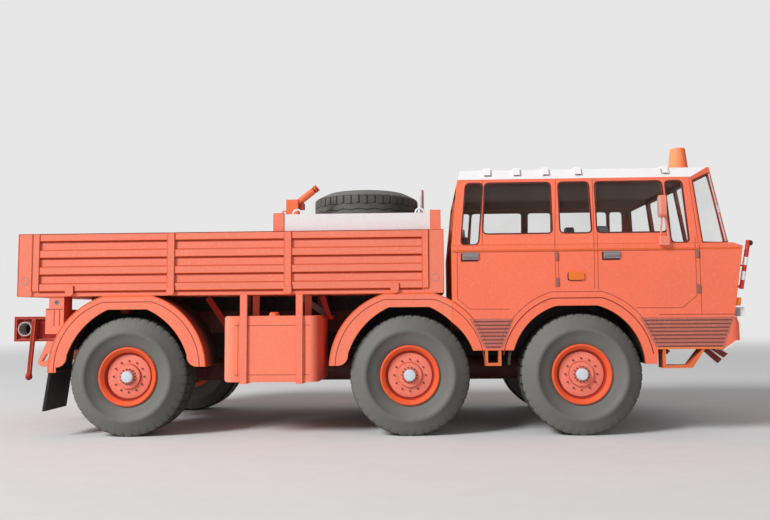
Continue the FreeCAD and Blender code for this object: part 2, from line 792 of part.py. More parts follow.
flap_width = cell("flap_width", 14.2)
flap_drop = cell("flap_drop", 11.7)
flap_lean = cell("flap_lean", 1.6)
flap_inset = cell("flap_inset", 0.6)
flap_top = arch_end - rear_foot_drop
flap_bottom = flap_top - flap_drop
flap_top_x = rear_x - arch_inner_reach - arch_band
flap = plate("flap_sheet", "XZ_Plane", half - flap_inset - flap_width, flap_width, [
    (flap_top_x, flap_top),
    (flap_top_x - flap_lean, flap_bottom),
    (flap_top_x - flap_lean + card, flap_bottom),
    (flap_top_x + card, flap_top),
])
keep("mud_flaps", pair("mud_flaps_both", flap))

# Rear beam across the frame ends, lamp boxes on it, and the long coupling body.
beam_overhang = cell("beam_overhang", 25.9)
beam_length = cell("beam_length", 5.7)
beam_drop = cell("beam_drop", 4.0)
beam_depth = cell("beam_depth", 7.5)
beam_inset = cell("beam_inset", 1.0)
lamp_box_width = cell("lamp_box_width", 5.5)
coupling_width = cell("coupling_width", 18.0)
coupling_drop = cell("coupling_drop", 2.1)
coupling_depth = cell("coupling_depth", 8.6)
coupling_wall = cell("coupling_wall", 0.8)
coupling_recess = cell("coupling_recess", 1.0)
coupling_bore = cell("coupling_bore", 2.45)
coupling_bore_inset = cell("coupling_bore_inset", 3.7)

beam_rear = named("beam_rear", rear_x - beam_overhang)
beam_top = named("beam_top", bed_bottom - beam_drop)
beam_bottom = beam_top - beam_depth
coupling_top = named("coupling_top", beam_top - coupling_drop)
coupling_bottom = named("coupling_bottom", coupling_top - coupling_depth)
beam_front = beam_rear + beam_length
beam_half = half - beam_inset
beam_box = block("rear_beam_box", (beam_rear, beam_front), (-beam_half, beam_half),
                 (beam_bottom, beam_top))
lamp_box = block("lamp_box", (beam_rear + beam_inset, beam_front),
                 (-beam_half, lamp_box_width - beam_half), (beam_top, bed_bottom))
beam_relief = pair("beam_relief", arch_rise("beam_relief_right", rear_x, -seam,
                                            half - mudguard_width - card - seam,
                                            mudguard_width + card + seam))
keep("rear_beam", cut("rear_beam_solid", join("rear_beam_whole", beam_box, lamp_box,
                                              mirrored("lamp_box_twin", lamp_box)), beam_relief))

bore_x = coupling_end + coupling_bore_inset
bore_z = (coupling_bottom + coupling_top) / 2
coupling_half = coupling_width / 2
coupling_box = block("coupling_box", (coupling_end, beam_rear), (-coupling_half, coupling_half),
                     (coupling_bottom, coupling_top))
hollows = []
for side, y in (("right", -coupling_half), ("left", coupling_half - coupling_recess)):
    hollows.append(block(f"coupling_recess_{side}", (coupling_end + coupling_wall, beam_rear),
                         (y, y + coupling_recess),
                         (coupling_bottom + coupling_wall, coupling_top - coupling_wall)))
coupling_shell = cut("coupling_shell", coupling_box, group("coupling_recesses", *hollows))
bore = bar("coupling_bore_hole", "y", coupling_bore, (bore_x, -coupling_half, bore_z), coupling_width)
coupling_solid = cut("coupling_bored", coupling_shell, bore)

# The release lever hangs at the coupling's right side, with a bulb at its end.
lever_radius = cell("lever_radius", 0.6)
lever_pin = cell("lever_pin", 0.4)
lever_sink = cell("lever_sink", 0.1)
lever_bulb = cell("lever_bulb", 1.15)
lever_ahead = cell("lever_ahead", 7.4)
lever_drop = cell("lever_drop", 12.1)
lever_lean = cell("lever_lean", 1.5)
lever_x = coupling_end + lever_ahead
lever_bottom = coupling_bottom - lever_drop
lever_y = lever_sink - coupling_half - lever_radius
lever_top = coupling_top - coupling_wall - seam
lever_pivot = bar("lever_pivot", "y", lever_pin, (lever_x, lever_y, lever_top - lever_radius),
                  lever_radius + coupling_recess)
lever_arm = plate("lever_arm", "XZ_Plane", coupling_half - lever_sink, lever_radius * 2, [
    (lever_x - lever_radius, lever_top),
    (lever_x - lever_lean - lever_radius, lever_bottom),
    (lever_x - lever_lean + lever_radius, lever_bottom),
    (lever_x + lever_radius, lever_top),
])
lever_ball = ball("lever_ball", lever_bulb, lever_x - lever_lean, lever_y, lever_bottom)
keep("tow_coupling", join("tow_coupling_solid", coupling_solid, lever_pivot, lever_arm, lever_ball))

# Towing loops: slotted plates under the coupling at the back, forked ones at the front.
loop_ahead = cell("loop_ahead", 16.0)
loop_length = cell("loop_length", 4.4)
loop_drop = cell("loop_drop", 8.7)
loop_lean = cell("loop_lean", 3.0)
loop_slot = cell("loop_slot", 1.6)
loop_slot_share = 1.2
loop_x = coupling_end + loop_ahead
loop_bottom = coupling_bottom - loop_drop
loop_right = plate("tow_loop", "XZ_Plane", coupling_half - card * 2, card * 2, [
    (loop_x - loop_length, coupling_bottom),
    (loop_x - loop_length - loop_lean, loop_bottom + loop_slot),
    (loop_x - loop_lean, loop_bottom + loop_slot, loop_x - loop_lean - loop_length / 2, loop_bottom),
    (loop_x, coupling_bottom),
], [
    (loop_x - loop_length / 2 - loop_lean / 2 - loop_slot / 2, (coupling_bottom + loop_bottom) / 2),
    (loop_x - loop_length / 2 - loop_lean - loop_slot / 2, loop_bottom + loop_slot * loop_slot_share),
    (loop_x - loop_length / 2 - loop_lean + loop_slot / 2, loop_bottom + loop_slot * loop_slot_share),
    (loop_x - loop_length / 2 - loop_lean / 2 + loop_slot / 2, (coupling_bottom + loop_bottom) / 2),
])

# Frame rails from the rear beam to the front bumper.
cab_length = cab_front - cab_rear
bumper_length = cell("bumper_length", 5.4)
rail_setback = cell("rail_setback", 10.8)
rail_front = cab_front - rail_setback
rail = block("frame_rail", (beam_front, rail_front), (-rail_half, rail_width - rail_half),
             (rail_bottom, rail_top))
keep("frame_rails", pair("frame_rails_both", rail))

# Fuel tanks with rounded upright edges, held by straps that hang from the bed.
tank_rear_gap = cell("tank_rear_gap", 4.9)
tank_front_gap = cell("tank_front_gap", 2.1)
tank_depth = cell("tank_depth", 16.5)
tank_height = cell("tank_height", 20.0)
tank_drop = cell("tank_drop", 6.5)
tank_corner = cell("tank_corner", 3.6)
tank_edge = cell("tank_edge", 1.5)
tank_cap_radius = cell("tank_cap_radius", 1.5)
tank_cap_height = cell("tank_cap_height", 0.8)
strap_width = cell("strap_width", 2.2)
strap_thickness = cell("strap_thickness", 0.5)
strap_shares = (0.217, 0.776)

arch_total = arch_inner_reach + arch_band
tank_rear = named("tank_rear", rear_x + arch_total + tank_rear_gap)
tank_front = named("tank_front", middle_x - arch_total - tank_front_gap)
tank_top = named("tank_top", bed_bottom - tank_drop)
tank_bottom = named("tank_bottom", tank_top - tank_height)
tank_outer = half - strap_thickness
tank_inner = tank_outer - tank_depth
bend = tank_corner * round_share
edge_bend = tank_edge * round_share
tank_plan = plate("tank_plan", "XY_Plane", tank_bottom, tank_top - tank_bottom, [
    (tank_rear + tank_corner, -tank_outer, tank_rear + bend, bend - tank_outer),
    (tank_front - tank_corner, -tank_outer),
    (tank_front, tank_corner - tank_outer, tank_front - bend, bend - tank_outer),
    (tank_front, -tank_inner - tank_corner),
    (tank_front - tank_corner, -tank_inner, tank_front - bend, -tank_inner - bend),
    (tank_rear + tank_corner, -tank_inner),
    (tank_rear, -tank_inner - tank_corner, tank_rear + bend, -tank_inner - bend),
    (tank_rear, tank_corner - tank_outer),
])
tank_profile = plate("tank_profile", "XZ_Plane", tank_inner, tank_depth, [
    (tank_rear + tank_edge, tank_bottom, tank_rear + edge_bend, tank_bottom + edge_bend),
    (tank_front - tank_edge, tank_bottom),
    (tank_front, tank_bottom + tank_edge, tank_front - edge_bend, tank_bottom + edge_bend),
    (tank_front, tank_top - tank_edge),
    (tank_front - tank_edge, tank_top, tank_front - edge_bend, tank_top - edge_bend),
    (tank_rear + tank_edge, tank_top),
    (tank_rear, tank_top - tank_edge, tank_rear + edge_bend, tank_top - edge_bend),
    (tank_rear, tank_bottom + tank_edge),
])
tank_shell = shared("tank_shell", tank_plan, tank_profile)
tank_mid = (tank_rear + tank_front) / 2
tank_cap = bar("tank_cap", "z", tank_cap_radius,
               (tank_mid, tank_corner - tank_outer, tank_top), tank_cap_height)
keep("fuel_tanks", pair("fuel_tanks_both", join("fuel_tank", tank_shell, tank_cap)))

straps = []
for number, share in enumerate(strap_shares):
    strap_x = tank_rear + (tank_front - tank_rear) * share - strap_width / 2
    straps.append(plate(f"strap_{number}", "YZ_Plane", strap_x, strap_width, [
        (-half, bed_bottom),
        (-half, tank_bottom - strap_thickness),
        (strap_thickness - tank_inner, tank_bottom - strap_thickness),
        (strap_thickness - tank_inner, bed_bottom),
        (-tank_inner, bed_bottom),
        (-tank_inner, tank_bottom),
        (-tank_outer, tank_bottom),
        (-tank_outer, bed_bottom),
    ]))
keep("tank_straps", pair("tank_straps_all", group("tank_straps_right", *straps)))

# Bearers lie across the frame rails under the bed.
bearer_half = tank_inner - strap_thickness - seam
bearer_shares = (0.13, 0.32, 0.51, 0.7, 0.9)
bearers = []
for number, share in enumerate(bearer_shares):
    centre = bed_rear + bed_length * share
    bearers.append(block(f"bearer_{number}", (centre - bearer_width / 2, centre + bearer_width / 2),
                         (-bearer_half, bearer_half), (rail_top, bed_bottom)))

# Cab shell: upright sides up to the belt, then glazed walls that lean in to the gutter.
side_lean = cell("side_lean", 3.0)
roof_inset = cell("roof_inset", 3.0)
rear_lean = cell("rear_lean", 2.2)
roof_rear_inset = cell("roof_rear_inset", 1.0)
ledge = cell("ledge", 2.8)
ledge_drop = cell("ledge_drop", 1.0)
screen_lean = cell("screen_lean", 4.1)
pillar_foot = cell("pillar_foot", 9.4)
pillar_lean = cell("pillar_lean", 1.4)
corner_cut = cell("corner_cut", 3.55)
corner_cut_top = cell("corner_cut_top", 2.6)
nose_rake = cell("nose_rake", 3.3)
bumper_depth = cell("bumper_depth", 9.5)
bumper_back = cell("bumper_back", 6.8)

screen_foot = named("screen_foot", cab_front - ledge)
pillar_x = named("pillar_x", screen_foot - pillar_foot)
pillar_top_x = named("pillar_top_x", pillar_x - pillar_lean)
screen_top = named("screen_top", screen_foot - screen_lean)
gutter_half = named("gutter_half", half - side_lean)
gutter_rear = named("gutter_rear", cab_rear + rear_lean)
nose_foot = named("nose_foot", cab_front - nose_rake)
step_back = cab_front - bumper_back
bumper_top = named("bumper_top", sill_bottom + bumper_depth)

front_arch_setback = cell("front_arch_setback", 1.2)
rear_wall_drop = cell("rear_wall_drop", 5.6)
arch_draw = cell("arch_draw", 0.4)
sill_draw_share = 0.25
middle_bend_share = 0.8
middle_rise_share = 0.55
front_bend_share = 0.67
front_rise_share = 0.765
band_foot_share = 0.8
band_sill_share = 0.9
middle_sill_x = named("middle_sill_x",
                      middle_x + arch_inner_reach - (sill_bottom - arch_end) * sill_draw_share)
front_arch_x = front_x - front_arch_setback
arch_left = front_arch_x - arch_inner_reach + (sill_bottom - arch_end) * sill_draw_share
arch_right = front_arch_x + arch_inner_reach - arch_draw
shoulder_x = arch_flat / 2
rear_arch_z = floor_level - rear_wall_drop
front_bend = arch_inner_reach * front_bend_share
front_bend_z = along(arch_end, arch_inner_top, front_rise_share)

window_rise = cell("window_rise", 3.6)
quarter_rise = cell("quarter_rise", 0.3)
window_drop = cell("window_drop", 1.3)
window_corner = cell("window_corner", 1.3)
window_foot = named("window_foot", belt + window_rise)
quarter_foot = named("quarter_foot", belt + quarter_rise)
window_head = named("window_head", gutter - window_drop)
foot_span = pillar_x - cab_rear
head_span = pillar_top_x - gutter_rear


def pane(low_left, low_right, top_left, top_right, low, high, corner):
    """A window opening with rounded corners; its uprights lean as the pillars do."""
    share = corner / (high - low)
    nick = corner * round_share
    left_foot = along(low_left, top_left, share)
    left_head = along(top_left, low_left, share)
    right_foot = along(low_right, top_right, share)
    right_head = along(top_right, low_right, share)
    return [
        (low_left + corner, low, low_left + nick, low + nick),
        (low_right - corner, low),
        (right_foot, low + corner, low_right - nick, low + nick),
        (right_head, high - corner),
        (top_right - corner, high, top_right - nick, high - nick),
        (top_left + corner, high),
        (left_head, high - corner, top_left + nick, high - nick),
        (left_foot, low + corner),
    ]


side_window_shares = [
    ("rear_quarter", 0.040, 0.108, 0.037, 0.108, quarter_foot),
    ("rear_door", 0.130, 0.407, 0.119, 0.398, window_foot),
    ("middle", 0.442, 0.566, 0.434, 0.561, window_foot),
    ("front_door", 0.590, 0.868, 0.590, 0.872, window_foot),
    ("front_quarter", 0.884, 0.951, 0.889, 0.958, quarter_foot),
]
side_openings = []
for name, low_left, low_right, top_left, top_right, foot in side_window_shares:
    side_openings.append(pane(cab_rear + foot_span * low_left, cab_rear + foot_span * low_right,
                              gutter_rear + head_span * top_left,
                              gutter_rear + head_span * top_right,
                              foot, window_head, window_corner))

side_outline = [
    (cab_rear, rear_arch_z),
    (middle_sill_x, sill_bottom, middle_x + arch_inner_reach * middle_bend_share,
     along(arch_end, arch_inner_top, middle_rise_share)),
    (arch_left, sill_bottom),
    (front_arch_x - shoulder_x, arch_inner_top, front_arch_x - front_bend, front_bend_z),
    (front_arch_x + shoulder_x, arch_inner_top),
    (arch_right, arch_end, front_arch_x + front_bend, front_bend_z),
    (arch_right + arch_band * band_foot_share, arch_end),
    (arch_right + arch_band * band_sill_share, sill_bottom),
    (step_back, sill_bottom),
    (nose_foot, bumper_top),
    (cab_front, belt - ledge_drop),
    (screen_foot, belt),
    (pillar_x, belt),
    (pillar_top_x, gutter),
    (gutter_rear, gutter),
    (cab_rear, belt),
]
side_sheet = plate("cab_side_sheet", "XZ_Plane", gutter_half - card * 2, side_lean + card * 4,
                   side_outline, *side_openings)
side_section = plate("cab_side_section", "YZ_Plane", cab_rear, cab_length, [
    (-half, arch_end),
    (card - half, arch_end),
    (card - half, belt),
    (card - gutter_half, gutter),
    (-gutter_half, gutter),
    (-half, belt),
])
cab_side = keep("cab_side_right", shared("cab_side_panel", side_section, side_sheet))
keep("cab_side_left", mirrored("cab_side_twin", cab_side))

# Side glass: one sheet of film behind each side's windows.
glass_margin = cell("glass_margin", 1.0)
film_sheet = plate("film_sheet", "XZ_Plane", gutter_half - card * 3, side_lean + card * 4, [
    (cab_rear + card + rear_lean / 2, quarter_foot - glass_margin),
    (pillar_x - seam, quarter_foot - glass_margin),
    (pillar_top_x - seam, window_head + glass_margin / 2),
    (gutter_rear + card, window_head + glass_margin / 2),
])
film_section = plate("film_section", "YZ_Plane", cab_rear, cab_length, [
    (card - half, arch_end),
    (card + film - half, arch_end),
    (card + film - half, belt),
    (card + film - gutter_half, gutter),
    (card - gutter_half, gutter),
    (card - half, belt),
])
side_glass = shared("side_film", film_section, film_sheet)

# Upper cab: one shape that every panel above the belt is taken from, so that they meet.
roof_half = named("roof_half", gutter_half - roof_inset)
roof_rear = named("roof_rear", gutter_rear + roof_rear_inset)
lean_share = (roof_top - belt) / (gutter - belt)
top_half = half - side_lean * lean_share
pillar_roof_x = pillar_x - pillar_lean * lean_share
past_share = 0.2


def upper_section(name, inset):
    """The upper cab across: leaning sides and the sloped edges of the roof."""
    return plate(name, "YZ_Plane", bed_front, cab_front - bed_front, [
        (inset - half, belt),
        (half - inset, belt),
        (gutter_half - inset, gutter),
        (roof_half - inset, roof_top - inset),
        (inset - roof_half, roof_top - inset),
        (inset - gutter_half, gutter),
    ])


def upper_profile(name, inset):
    """The upper cab from the side: leaning rear wall, roof and raked windscreen."""
    return plate(name, "XZ_Plane", -half, width, [
        (cab_rear + inset, belt),
        (screen_foot - inset, belt),
        (screen_top - inset, roof_top - inset),
        (roof_rear + inset, roof_top - inset),
        (gutter_rear + inset, gutter),
    ])


def corner_plan(pillar, wide, front, corner, inset):
    """The upper cab from above, with the facets of the corner panes run on past their ends."""
    side = wide - inset
    nose = side - corner
    ahead = front + (front - pillar) * past_share
    behind = pillar - (front - pillar) * past_share
    past = corner * past_share
    return [
        (bed_front, -side - past),
        (behind, -side - past),
        (ahead, past - nose),
        (ahead, nose - past),
        (behind, side + past),
        (bed_front, side + past),
    ]


def upper_cab(name, inset):
    """The whole upper cab as a solid, drawn in by an inset."""
    facets = loft(name + "_facets",
                  belt, corner_plan(pillar_x, half, screen_foot, corner_cut, inset),
                  roof_top, corner_plan(pillar_roof_x, top_half, screen_top, corner_cut_top, inset))
    sides = shared(name + "_sides", upper_section(name + "_section", inset),
                   upper_profile(name + "_profile", inset))
    return shared(name, sides, facets)


upper_outer = upper_cab("upper_outer", 0)
upper_inner = upper_cab("upper_inner", card)
upper_film = upper_cab("upper_film", card + film)
upper_shell = cut("upper_shell", upper_outer, upper_inner)
front_region = plate("front_region", "XZ_Plane", -half, width, [
    (pillar_x, belt),
    (cab_front, belt),
    (cab_front, roof_top + card),
    (screen_top - card, roof_top + card),
    (screen_top - card, roof_top),
    (pillar_top_x, gutter),
])
roof_region = plate("roof_region", "XZ_Plane", -half, width, [
    (bed_front, gutter),
    (pillar_top_x, gutter),
    (screen_top - card, roof_top),
    (screen_top - card, roof_top + card),
    (bed_front, roof_top + card),
])

pane_margin = cell("pane_margin", 1.3)
corner_pane_margin = cell("corner_pane_margin", 0.8)
centre_pillar = cell("centre_pillar", 1.6)
pane_drop = cell("pane_drop", 2.1)
corner_foot_end = screen_foot - corner_pane_margin * 2
corner_head_end = screen_top - corner_pane_margin
pane_head = roof_top - pane_drop
corner_opening = plate("corner_pane_hole", "XZ_Plane", -half, width, [
    (pillar_x + pane_margin / 2, belt + card / 2),
    (corner_foot_end, belt + card / 2),
    (corner_head_end, pane_head),
    (pillar_top_x + pane_margin / 2, gutter - pane_margin),
])
centre_foot = half - corner_cut - pane_margin
centre_head = top_half - corner_cut_top - pane_margin
centre_openings = []
for side, sign in (("right", -1), ("left", 1)):
    edges = [centre_pillar / 2, centre_foot, centre_pillar / 2, centre_head]
    inner_foot, outer_foot, inner_head, outer_head = [edge * sign for edge in edges]
    if sign < 0:
        inner_foot, outer_foot = outer_foot, inner_foot
        inner_head, outer_head = outer_head, inner_head
    centre_openings.append(plate(
        f"screen_hole_{side}", "YZ_Plane", screen_top - card * 2, screen_lean + card * 4,
        pane(inner_foot, outer_foot, inner_head, outer_head, belt + card, pane_head, window_corner)))
screen_holes = join("screen_holes", corner_opening, *centre_openings)
keep("windscreen_frame", cut("screen_frame", shared("screen_shell", upper_shell, front_region),
                             screen_holes))
screen_glass = shared("screen_film", cut("film_shell", upper_inner, upper_film), front_region)

# Roof: a shallow tray with sloped edges, and strips that lie across it and fold over them.
roof_strip_rise = cell("roof_strip_rise", 0.6)
roof_strip_width = cell("roof_strip_width", 2.0)
roof_strip_lift = cell("roof_strip_lift", 1.4)
roof_strip_shares = (0.119, 0.236, 0.35, 0.478, 0.82)
strip_solid = cut("strip_solid", upper_section("strip_outer", -roof_strip_rise),
                  upper_section("strip_inner", 0))
roof_strips = []
for number, share in enumerate(roof_strip_shares):
    centre = along(gutter_rear, screen_top, share)
    roof_strips.append(block(f"roof_strip_{number}",
                             (centre - roof_strip_width / 2, centre + roof_strip_width / 2),
                             (-half, half), (gutter + roof_strip_lift, roof_top + card)))
strips = shared("roof_strips", strip_solid, group("roof_strip_slabs", *roof_strips))
keep("cab_roof", join("cab_roof_solid", shared("roof_shell", upper_shell, roof_region), strips))

# Nose panel with its ledge under the windscreen, between the side panels.
nose_half = half - card
keep("cab_nose", plate("cab_nose_panel", "XZ_Plane", -nose_half, nose_half * 2, [
    (screen_foot, belt),
    (cab_front, belt - ledge_drop),
    (nose_foot, bumper_top),
    (nose_foot - card, bumper_top),
    (cab_front - card, belt - ledge_drop - card),
    (screen_foot, belt - card),
]))

# Rear wall with two windows; it leans forward above the belt.
rear_window_post = cell("rear_window_post", 8.0)
rear_window_margin = cell("rear_window_margin", 6.0)
rear_window_inner = rear_window_post / 2
rear_window_outer = gutter_half - rear_window_margin
wall_profile = plate("rear_wall_profile", "XZ_Plane", -half, width, [
    (cab_rear, rear_arch_z),
    (cab_rear + card, rear_arch_z),
    (cab_rear + card, belt),
    (gutter_rear + card, gutter),
    (gutter_rear, gutter),
    (cab_rear, belt),
])
rail_slot = rail_half + seam
wall_outline = plate("rear_wall_outline", "YZ_Plane", cab_rear, rear_lean + card * 2, [
    (card - half, rear_arch_z),
    (-rail_slot, rear_arch_z),
    (-rail_slot, rail_top + seam),
    (rail_slot, rail_top + seam),
    (rail_slot, rear_arch_z),
    (half - card, rear_arch_z),
    (half - card, belt),
    (gutter_half - card, gutter),
    (card - gutter_half, gutter),
    (card - half, belt),
], *[pane(low, high, low, high, window_foot, window_head, window_corner) for low, high in
     ((-rear_window_outer, -rear_window_inner), (rear_window_inner, rear_window_outer))])
keep("cab_rear_wall", shared("cab_rear_panel", wall_profile, wall_outline))
rear_film_profile = plate("rear_film_profile", "XZ_Plane", -rear_window_outer - glass_margin,
                          (rear_window_outer + glass_margin) * 2, [
    (cab_rear + card, belt),
    (cab_rear + card + film, belt),
    (gutter_rear + card + film, gutter),
    (gutter_rear + card, gutter),
])
keep("cab_windows", group("cab_windows_all", side_glass, mirrored("side_film_twin", side_glass),
                          screen_glass, rear_film_profile))

# Floor of the cab, with the inner wheel arches of the front wheels under it.
floor_rear = cab_rear + card
floor_front = nose_foot - card
floor_plate = block("cab_floor_plate", (floor_rear, floor_front), (-nose_half, nose_half),
                    (floor_level, floor_level + floor_card))
arch_inner_y = half - mudguard_width
arch_skin = cut("arch_skin",
                arch_rise("arch_skin_outer", front_arch_x, arch_band - card, arch_inner_y,
                          mudguard_width - card),
                arch_rise("arch_skin_inner", front_arch_x, arch_band, arch_inner_y,
                          mudguard_width - card))
arch_house = join("arch_house", arch_skin, wheelhouse_wall("arch_wall", front_arch_x, arch_band - card))
keep("cab_floor", join("cab_floor_solid", floor_plate, arch_house, mirrored("arch_twin", arch_house)))

mount_shares = (0.12, 0.5, 0.86)
for number, share in enumerate(mount_shares):
    centre = cab_rear + cab_length * share
    bearers.append(block(f"cab_bearer_{number}",
                         (centre - bearer_width / 2, centre + bearer_width / 2),
                         (-rail_half, rail_half), (rail_top, floor_level)))
keep("cross_bearers", group("cross_bearers_all", *bearers))

# Seats: two in front and a bench behind, each a cushion with a leaning back.
seat_width = cell("seat_width", 15.0)
seat_length = cell("seat_length", 14.0)
seat_height = cell("seat_height", 9.5)
seat_back_rise = cell("seat_back_rise", 6.3)
seat_back_thickness = cell("seat_back_thickness", 2.4)
seat_back_lean = cell("seat_back_lean", 2.6)
seat_y = cell("seat_y", 19.0)
front_seat_share = 0.575
bench_ahead = cell("bench_ahead", 5.0)
bench_inset = cell("bench_inset", 6.05)
bench_width = (half - bench_inset) * 2
seat_back_top = belt + seat_back_rise
front_seat_x = cab_rear + cab_length * front_seat_share


def seat(name, x, y, wide):
    """A box cushion with a back that leans to the rear."""
    return plate(name, "XZ_Plane", -y - wide / 2, wide, [
        (x, cabin_floor),
        (x + seat_length, cabin_floor),
        (x + seat_length, cabin_floor + seat_height),
        (x + seat_back_thickness, cabin_floor + seat_height),
        (x + seat_back_thickness - seat_back_lean, seat_back_top),
        (x - seat_back_lean, seat_back_top),
    ])


keep("cab_seats", group("cab_seats_all",
                        seat("seat_right", front_seat_x, -seat_y, seat_width),
                        seat("seat_left", front_seat_x, seat_y, seat_width),
                        seat("rear_bench", cab_rear + bench_ahead, 0, bench_width)))

# Dashboard across the front, and the steering wheel on its column.
dash_depth = cell("dash_depth", 5.0)
dash_height = cell("dash_height", 8.0)
wheel_radius = cell("steering_wheel_radius", 6.4)
wheel_wire = cell("steering_wheel_wire", 0.55)
column_radius = cell("column_radius", 0.8)
steering_reach = cell("steering_reach", 8.0)
steering_rise = cell("steering_rise", 1.6)
steering_tilt = 55
steering_share = 0.55
dash_front = screen_foot - screen_lean
dash_rear = dash_front - dash_depth
dash_half = nose_half - card
dashboard = keep("dashboard", plate("dashboard_block", "XZ_Plane", -dash_half, dash_half * 2, [
    (dash_rear + card, belt - dash_height),
    (dash_front, belt - dash_height),
    (dash_front, belt - card),
    (dash_rear + card, belt - card),
    (dash_rear, belt - card * 2),
]))
wheel_ring = doc.addObject("Part::Torus", "steering_ring")
bind(wheel_ring, "Radius1", wheel_radius)
bind(wheel_ring, "Radius2", wheel_wire)
column = doc.addObject("Part::Cylinder", "steering_column")
bind(column, "Radius", column_radius)
bind(column, "Height", steering_reach)
move(column, 0, 0, -steering_reach)
hub_disc = doc.addObject("Part::Cylinder", "steering_hub")
bind(hub_disc, "Radius", wheel_radius + wheel_wire / 2)
bind(hub_disc, "Height", wheel_wire)
steering = join("steering_solid", wheel_ring, column, hub_disc)
steering.Placement.Rotation = FreeCAD.Rotation(FreeCAD.Vector(0, 1, 0), -steering_tilt)
move(steering, dash_rear - steering_reach * steering_share, seat_y, belt + steering_rise)
keep("steering_wheel", cut("steering_fitted", steering, dashboard))

# Beacon: a tapered lamp on the right front corner of the roof.
beacon_foot = cell("beacon_foot", 3.3)
beacon_head = cell("beacon_head", 2.6)
beacon_height = cell("beacon_height", 7.6)
beacon_setback = cell("beacon_setback", 6.8)
beacon_inset = cell("beacon_inset", 8.0)
beacon = doc.addObject("Part::Cone", "beacon_lamp")
bind(beacon, "Radius1", beacon_foot)
bind(beacon, "Radius2", beacon_head)
bind(beacon, "Height", beacon_height)
keep("beacon", move(beacon, screen_top - beacon_setback, beacon_inset - roof_half, roof_top))

# Mirrors: an upright head over a forked arm, from a block at the belt of the door.
mirror_setback = cell("mirror_setback", 12.8)
mirror_width = cell("mirror_width", 2.0)
mirror_depth = cell("mirror_depth", 4.0)
mirror_rise = cell("mirror_rise", 7.5)
mirror_height = cell("mirror_height", 6.9)
mirror_foot_low = cell("mirror_foot_low", 0.8)
mirror_foot_high = cell("mirror_foot_high", 2.0)
mirror_foot_width = cell("mirror_foot_width", 3.0)
mirror_out = cell("mirror_out", 1.6)
mirror_arm = cell("mirror_arm", 0.6)
mirror_x = pillar_x - mirror_setback
mirror_y = half + mirror_out
mirror_bottom = belt + mirror_rise
mirror_top = mirror_bottom + mirror_height
mirror_neck = mirror_x + mirror_width
foot_top = belt + mirror_foot_high
foot_front = mirror_x + mirror_foot_width
mirror_foot = block("mirror_foot", (mirror_x, foot_front), (-mirror_y, -half),
                    (belt - mirror_foot_low, foot_top))
mirror_fork = plate("mirror_fork", "XZ_Plane", mirror_y - mirror_arm, mirror_arm, [
    (mirror_x, foot_top - mirror_arm),
    (foot_front, foot_top - mirror_arm),
    (mirror_neck + mirror_arm, mirror_bottom + mirror_arm),
    (mirror_neck - mirror_arm, mirror_bottom + mirror_arm),
], [
    (mirror_x + mirror_arm, foot_top),
    (foot_front - mirror_arm, foot_top),
    (mirror_neck, mirror_bottom - mirror_arm),
])
mirror_head = block("mirror_head", (mirror_x, mirror_neck),
                    (-mirror_y - mirror_depth / 2, mirror_depth / 2 - mirror_y),
                    (mirror_bottom, mirror_top))
keep("mirrors", pair("mirrors_both", join("mirror", mirror_foot, mirror_fork, mirror_head)))

# Bumper: a box with rounded front corners and a cut-back lower edge.
bumper_bulge = cell("bumper_bulge", 2.2)
chin_rise = cell("chin_rise", 2.5)
bumper_corner = cell("bumper_corner", 3.0)
bumper_front = nose_foot + bumper_bulge
bumper_chin = sill_bottom + chin_rise
bumper_round = bumper_corner * round_share
bumper_plan = plate("bumper_plan", "XY_Plane", sill_bottom, bumper_top - sill_bottom, [
    (step_back - bumper_length, -half),
    (bumper_front - bumper_corner, -half),
    (bumper_front, bumper_corner - half, bumper_front - bumper_round, bumper_round - half),
    (bumper_front, half - bumper_corner),
    (bumper_front - bumper_corner, half, bumper_front - bumper_round, half - bumper_round),
    (step_back - bumper_length, half),
])
bumper_profile = plate("bumper_profile", "XZ_Plane", -half, width, [
    (step_back, sill_bottom),
    (bumper_front - bumper_bulge, bumper_chin),
    (bumper_front, bumper_chin),
    (bumper_front, (bumper_chin + bumper_top) / 2),
    (nose_foot + bumper_bulge / 2, bumper_top),
    (nose_foot, bumper_top),
])
keep("front_bumper", shared("front_bumper_solid", bumper_plan, bumper_profile))

# Headlamps in the nose, and small lamps on brackets at its outer corners.
lamp_radius = cell("lamp_radius", 3.0)
lamp_depth = cell("lamp_depth", 1.2)
lamp_inset = cell("lamp_inset", 12.0)
lamp_rise = cell("lamp_rise", 5.9)
corner_lamp_radius = cell("corner_lamp_radius", 1.25)
corner_lamp_rise = cell("corner_lamp_rise", 1.5)
corner_lamp_inset = cell("corner_lamp_inset", 3.0)
lamp_reach = cell("lamp_reach", 1.1)
nose_backing = cell("nose_backing", 9.9)
lamp_y = half - lamp_inset
lamp_height = bumper_top + lamp_rise
lamp_x = nose_foot + nose_rake * lamp_rise / (belt - ledge_drop - bumper_top)
corner_lamp_back = nose_foot + card
nose_back = plate("nose_backing", "XZ_Plane", -half, width, [
    (cab_front - nose_backing, belt - ledge_drop),
    (cab_front - nose_backing, bumper_top),
    (nose_foot, bumper_top),
    (cab_front, belt - ledge_drop),
])
headlamp = cut("headlamp", bar("headlamp_body", "x", lamp_radius,
                               (lamp_x - lamp_depth, -lamp_y, lamp_height), lamp_depth * 2), nose_back)
corner_lamp = bar("corner_lamp_body", "x", corner_lamp_radius,
                  (corner_lamp_back, corner_lamp_inset - half, bumper_top + corner_lamp_rise),
                  cab_front + lamp_reach - corner_lamp_back)
keep("front_lamps", pair("front_lamps_all", group("front_lamps_right", headlamp, corner_lamp)))

